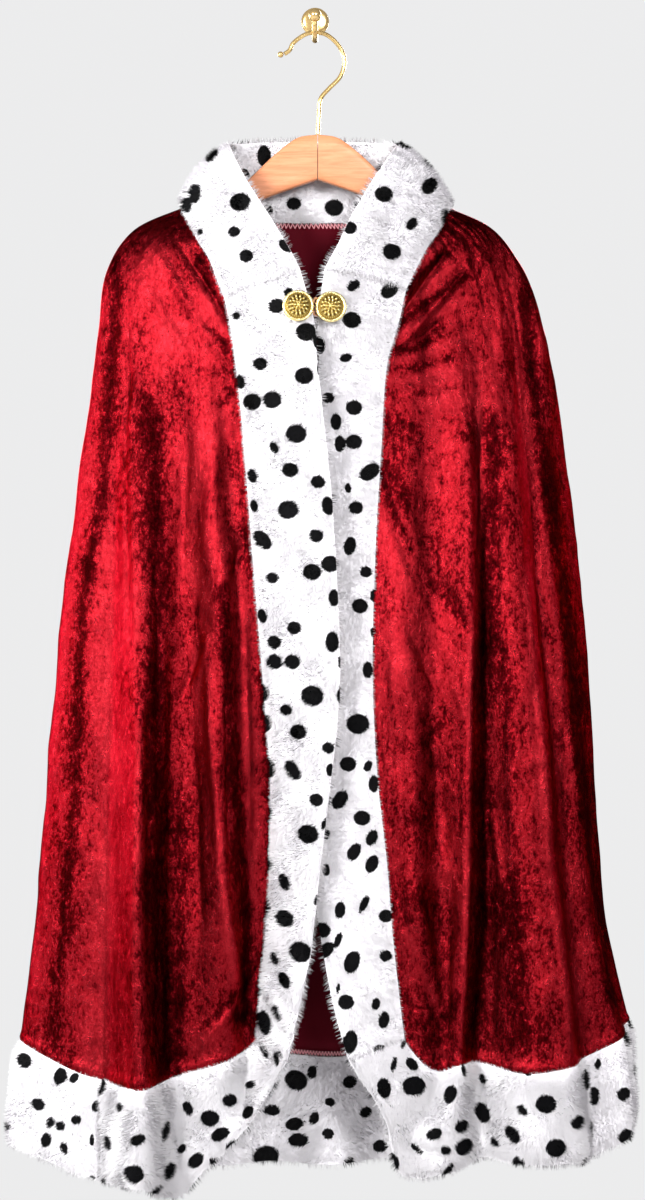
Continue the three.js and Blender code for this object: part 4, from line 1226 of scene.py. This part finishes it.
# The wire's route from the wood to the bead, across and in height.
WIRE_RADIUS = 1.75
WIRE_POINTS = [
    (2.4, -99.1), (3.2, -84), (4.6, -70), (11.5, -61.5), (20.5, -52), (24.2, -39.5),
    (20.5, -28), (9.5, -17.5), (0, -15.6), (-7.5, -17), (-18, -24.5), (-20.8, -30), (-25, -33.2),
]
wire_places = np.linspace(0, len(WIRE_POINTS) - 1, 180)
wire_path = smooth_line([(x, HANGER_Y, z) for x, z in WIRE_POINTS], wire_places)
wire = add_piece("hook_wire", *tube(wire_path, WIRE_RADIUS, (0, 1, 0), 18), brass, "brass")
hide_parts("hanger_wire")


def ball_profile(radius, count):
    """Half a circle from pole to pole."""
    angle = np.linspace(-math.pi / 2, math.pi / 2, count)
    return np.stack([radius * np.cos(angle), radius * np.sin(angle)], axis=1)


def forward(points, place):
    """A turned solid's axis laid from the wall to the front, at a place."""
    x, y, z = np.asarray(points).T
    return np.stack([x, -z, y], axis=1) + place


def brass_turning(name, profile, around, place):
    """A turned brass piece that faces the front at its place."""
    points, quads, fans = turned_solid(profile, around)
    return add_piece(name, forward(points, place), quads, fans, brass, "brass")


bead = brass_turning("hook_bead", ball_profile(2.5, 24), 32, (-28.2, HANGER_Y, -33.6))
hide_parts("hanger_bead")
ROSE_PROFILE = [
    (0, 0), (11.1, 0), (11.4, 0.2), (11.5, 0.5), (11.5, 1.2), (11.3, 1.6), (10.9, 1.75), (10.6, 2.0),
    (10.3, 2.5), (9.6, 2.95), (8.4, 3.3), (7, 3.55), (5.2, 3.75), (3, 3.9), (0, 4),
]
rose = brass_turning("wall_rose", ROSE_PROFILE, 72, (0, 0, 0))
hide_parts("wall_hook_rose")
# The finger's route from the rose to the ball, in depth and height.
FINGER_RADIUS = 2.4
FINGER_POINTS = [
    (-3.6, -3.6), (-9, -6.4), (-15, -16), (-23, -20), (-31, -20.2), (-39, -18), (-44, -13.4), (-45, -9),
]
finger_places = np.linspace(0, len(FINGER_POINTS) - 1, 80)
finger_path = smooth_line([(0, y, z) for y, z in FINGER_POINTS], finger_places)
finger = add_piece("wall_finger", *tube(finger_path, FINGER_RADIUS, (1, 0, 0), 20), brass, "brass")
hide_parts("wall_hook_finger")
ball = brass_turning("wall_ball", ball_profile(5.2, 32), 44, (0, -45.2, -4.2))
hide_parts("wall_hook_ball")

BUTTON_TILT = 0.12
BUTTON_ROWS = [
    (0, 0), (11.3, 0), (12.1, 0.3), (12.5, 0.8), (12.5, 1.8), (12.2, 2.3), (11.7, 2.6), (11.2, 2.65),
    (10.7, 2.5), (10.3, 2.35), (9.6, 3.2), (8.5, 4.2), (6.8, 4.9), (4.5, 5.5), (2.2, 5.9), (0, 6),
]


def rosette(radius, angle):
    """Relief on a button: a ring of dots, two rings of small leaves and a flower in the middle."""
    dots = 0.4 * np.exp(-(((radius - 9.3) / 0.5) ** 2)) * np.maximum(np.cos(36 * angle), 0)
    outer = 0.6 * np.exp(-(((radius - 7.4) / 0.9) ** 2)) * np.maximum(np.cos(14 * angle), -0.3)
    inner = 0.6 * np.exp(-(((radius - 5.0) / 0.9) ** 2)) * np.maximum(np.cos(10 * angle + 0.8), -0.3)
    flower = 0.5 * np.exp(-(((radius - 2.4) / 0.9) ** 2)) * np.maximum(np.cos(6 * angle), -0.2)
    heart = 0.4 * np.exp(-((radius / 1.0) ** 2)) + 0 * angle
    return dots + outer + inner + flower + heart


def relief_mark(radius, angle):
    """1 on the rim and on raised relief, about 0.2 on the field between."""
    rim = smoothstep(radius, 10.1, 10.7)
    return np.maximum(rim, 0.22 + 1.9 * rosette(radius, angle))


def button_profile():
    """The button's rows with many rings over the dome, where the relief stands."""
    rows = np.array(BUTTON_ROWS)
    rim, dome = rows[:10], rows[9:]
    index = np.linspace(0, len(dome) - 1, 44)[1:]
    fine = np.stack([np.interp(index, range(len(dome)), dome[:, k]) for k in (0, 1)], axis=1)
    return np.concatenate([rim, fine])


def rotated(first, second, angle):
    """Two coordinates turned by an angle in their plane."""
    cos, sin = math.cos(angle), math.sin(angle)
    return first * cos - second * sin, first * sin + second * cos


def clasp_button(name, place, turn):
    """A stamped button, stood up to face the front, tilted and turned a little."""
    points, quads, fans = turned_solid(button_profile(), 180, rosette)
    stamped = relief_mark(np.hypot(points[:, 0], points[:, 1]), np.arctan2(points[:, 1], points[:, 0]))
    x, y, z = points.T
    y, z = rotated(y, z, math.pi / 2 - BUTTON_TILT)
    x, y = rotated(x, y, turn)
    placed = np.stack([x, y, z], axis=1) + place
    button = add_piece(name + "_domed", placed, quads, fans, gilt, "brass", {"relief": stamped})
    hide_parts(name)


clasp_button("clasp_button_left", (-13.2, -102.9, -247.4), 0.06)
clasp_button("clasp_button_right", (12.9, -98.6, -247.8), -0.06)

LINK_HALF_WIDTH = 3.2
LINK_HALF_HEIGHT = 7
LINK_RADIUS = 0.9
LINK_SPIN = 0.6
LINK_PLACE = (1, -97.8, -247.6)


def link_piece():
    """The link: an upright oval ring and three short bars across it."""
    rings, around = 72, 12
    angle = np.linspace(0, 2 * math.pi, rings, endpoint=False)[:, None]
    turn = np.linspace(0, 2 * math.pi, around, endpoint=False)[None, :]
    out = unit(np.stack([np.cos(angle) / LINK_HALF_WIDTH, np.sin(angle) / LINK_HALF_HEIGHT], axis=-1))
    x = LINK_HALF_WIDTH * np.cos(angle) + out[..., 0] * LINK_RADIUS * np.cos(turn)
    z = LINK_HALF_HEIGHT * np.sin(angle) + out[..., 1] * LINK_RADIUS * np.cos(turn)
    y = LINK_RADIUS * np.sin(turn) + 0 * angle
    ring = np.stack([x, y, z], axis=-1).reshape(-1, 3)
    index = np.arange(rings * around).reshape(rings, around)
    ahead, turned = np.roll(index, -1, axis=0), np.roll(index, -1, axis=1)
    quads = np.stack([index, ahead, np.roll(ahead, -1, axis=1), turned], axis=-1).reshape(-1, 4)
    if point_normals(ring, quads)[0, 0] < 0:
        quads = quads[:, ::-1]
    points, triangles, start = [ring], [], len(ring)
    quads = [quads]
    for height, half in ((-3.6, 2.8), (0, 3.2), (3.6, 2.8)):
        path = np.linspace((-half, 0, height), (half, 0, height), 8)
        bar, bar_quads, bar_fans = tube(path, 0.55, (0, 1, 0), 10)
        points.append(bar)
        quads.append(bar_quads + start)
        triangles.append(bar_fans + start)
        start += len(bar)
    x, y, z = np.concatenate(points).T
    x, y = rotated(x, y, LINK_SPIN)
    placed = np.stack([x, y, z], axis=1) + LINK_PLACE
    return placed, np.concatenate(quads), np.concatenate(triangles)


link = add_piece("link_ring", *link_piece(), copper, "brass")
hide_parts("clasp_link")

# Studio: a pale backdrop colour all round, a floor below the view, and large soft lights.
world = bpy.data.worlds.new("studio")
bpy.context.scene.world = world
world.use_nodes = True
world_nodes = world.node_tree.nodes
world_links = world.node_tree.links
room = world_nodes["Background"]
room.inputs["Color"].default_value = (1.0, 0.955, 1.0, 1)
room.inputs["Strength"].default_value = 0.60
rays = world_nodes.new("ShaderNodeLightPath")


def background(colour):
    """A world shader of one plain colour."""
    node = world_nodes.new("ShaderNodeBackground")
    node.inputs["Color"].default_value = (*colour, 1)
    return node


def chosen_by(ray, otherwise, chosen):
    """Two world shaders in one: the second for one kind of ray, the first for all the others."""
    node = world_nodes.new("ShaderNodeMixShader")
    world_links.new(rays.outputs[ray], node.inputs[0])
    world_links.new(otherwise.outputs[0], node.inputs[1])
    world_links.new(chosen.outputs[0], node.inputs[2])
    return node


mirrored = chosen_by("Is Glossy Ray", room, background((0.055, 0.052, 0.055)))
shown = chosen_by("Is Camera Ray", mirrored, background((0.84, 0.84, 0.845)))
world_links.new(shown.outputs[0], world_nodes["World Output"].inputs["Surface"])


def soft_light(name, place, target, size, power):
    """A square area light that looks at a target."""
    data = bpy.data.lights.new(name, "AREA")
    data.shape = "SQUARE"
    data.size = size
    data.energy = power
    lamp = bpy.data.objects.new(name, data)
    lamp.location = place
    away = np.array(place, float) - np.array(target, float)
    across = math.hypot(away[0], away[1])
    lamp.rotation_euler = (math.atan2(across, away[2]), 0, math.atan2(away[1], away[0]) + math.pi / 2)
    bpy.context.scene.collection.objects.link(lamp)


# Each light: its name, place, target, side and power.
for lamp in (
    ("front_left", (-1.6, -2.0, 0.4), (0, -0.1, -0.5), 0.7, 72),
    ("front_right", (0.9, -2.8, 0.5), (0, -0.1, -0.5), 0.7, 56),
    ("side_left", (-2.0, 0.3, -0.3), (-0.1, -0.1, -0.6), 0.6, 22),
    ("side_right", (2.0, 0.5, -0.1), (0.1, -0.1, -0.5), 0.5, 5),
    ("behind_right", (0.9, 2.3, 0.5), (0, 0, -0.5), 0.9, 62),
    ("behind_left", (-1.3, 2.0, 0.2), (0, 0, -0.6), 0.9, 26),
):
    soft_light(*lamp)

FLOOR_HEIGHT = -1300
FLOOR_CORNERS = [(-2500, -2500), (2500, -2500), (2500, 1200), (-2500, 1200)]
floor_points = [(*corner, FLOOR_HEIGHT) for corner in FLOOR_CORNERS]
floor_finish = Finish("pale_floor", Roughness=0.8)
floor_shade = floor_finish.noise(floor_finish.place, 3)
floor_stops = [(0.3, (0.50, 0.50, 0.50)), (0.7, (0.53, 0.53, 0.53))]
floor_finish.set("Base Color", floor_finish.ramp(floor_shade, floor_stops))
floor = add_piece("floor", floor_points, [(0, 1, 2, 3)], (), floor_finish.material, None, smooth=False)
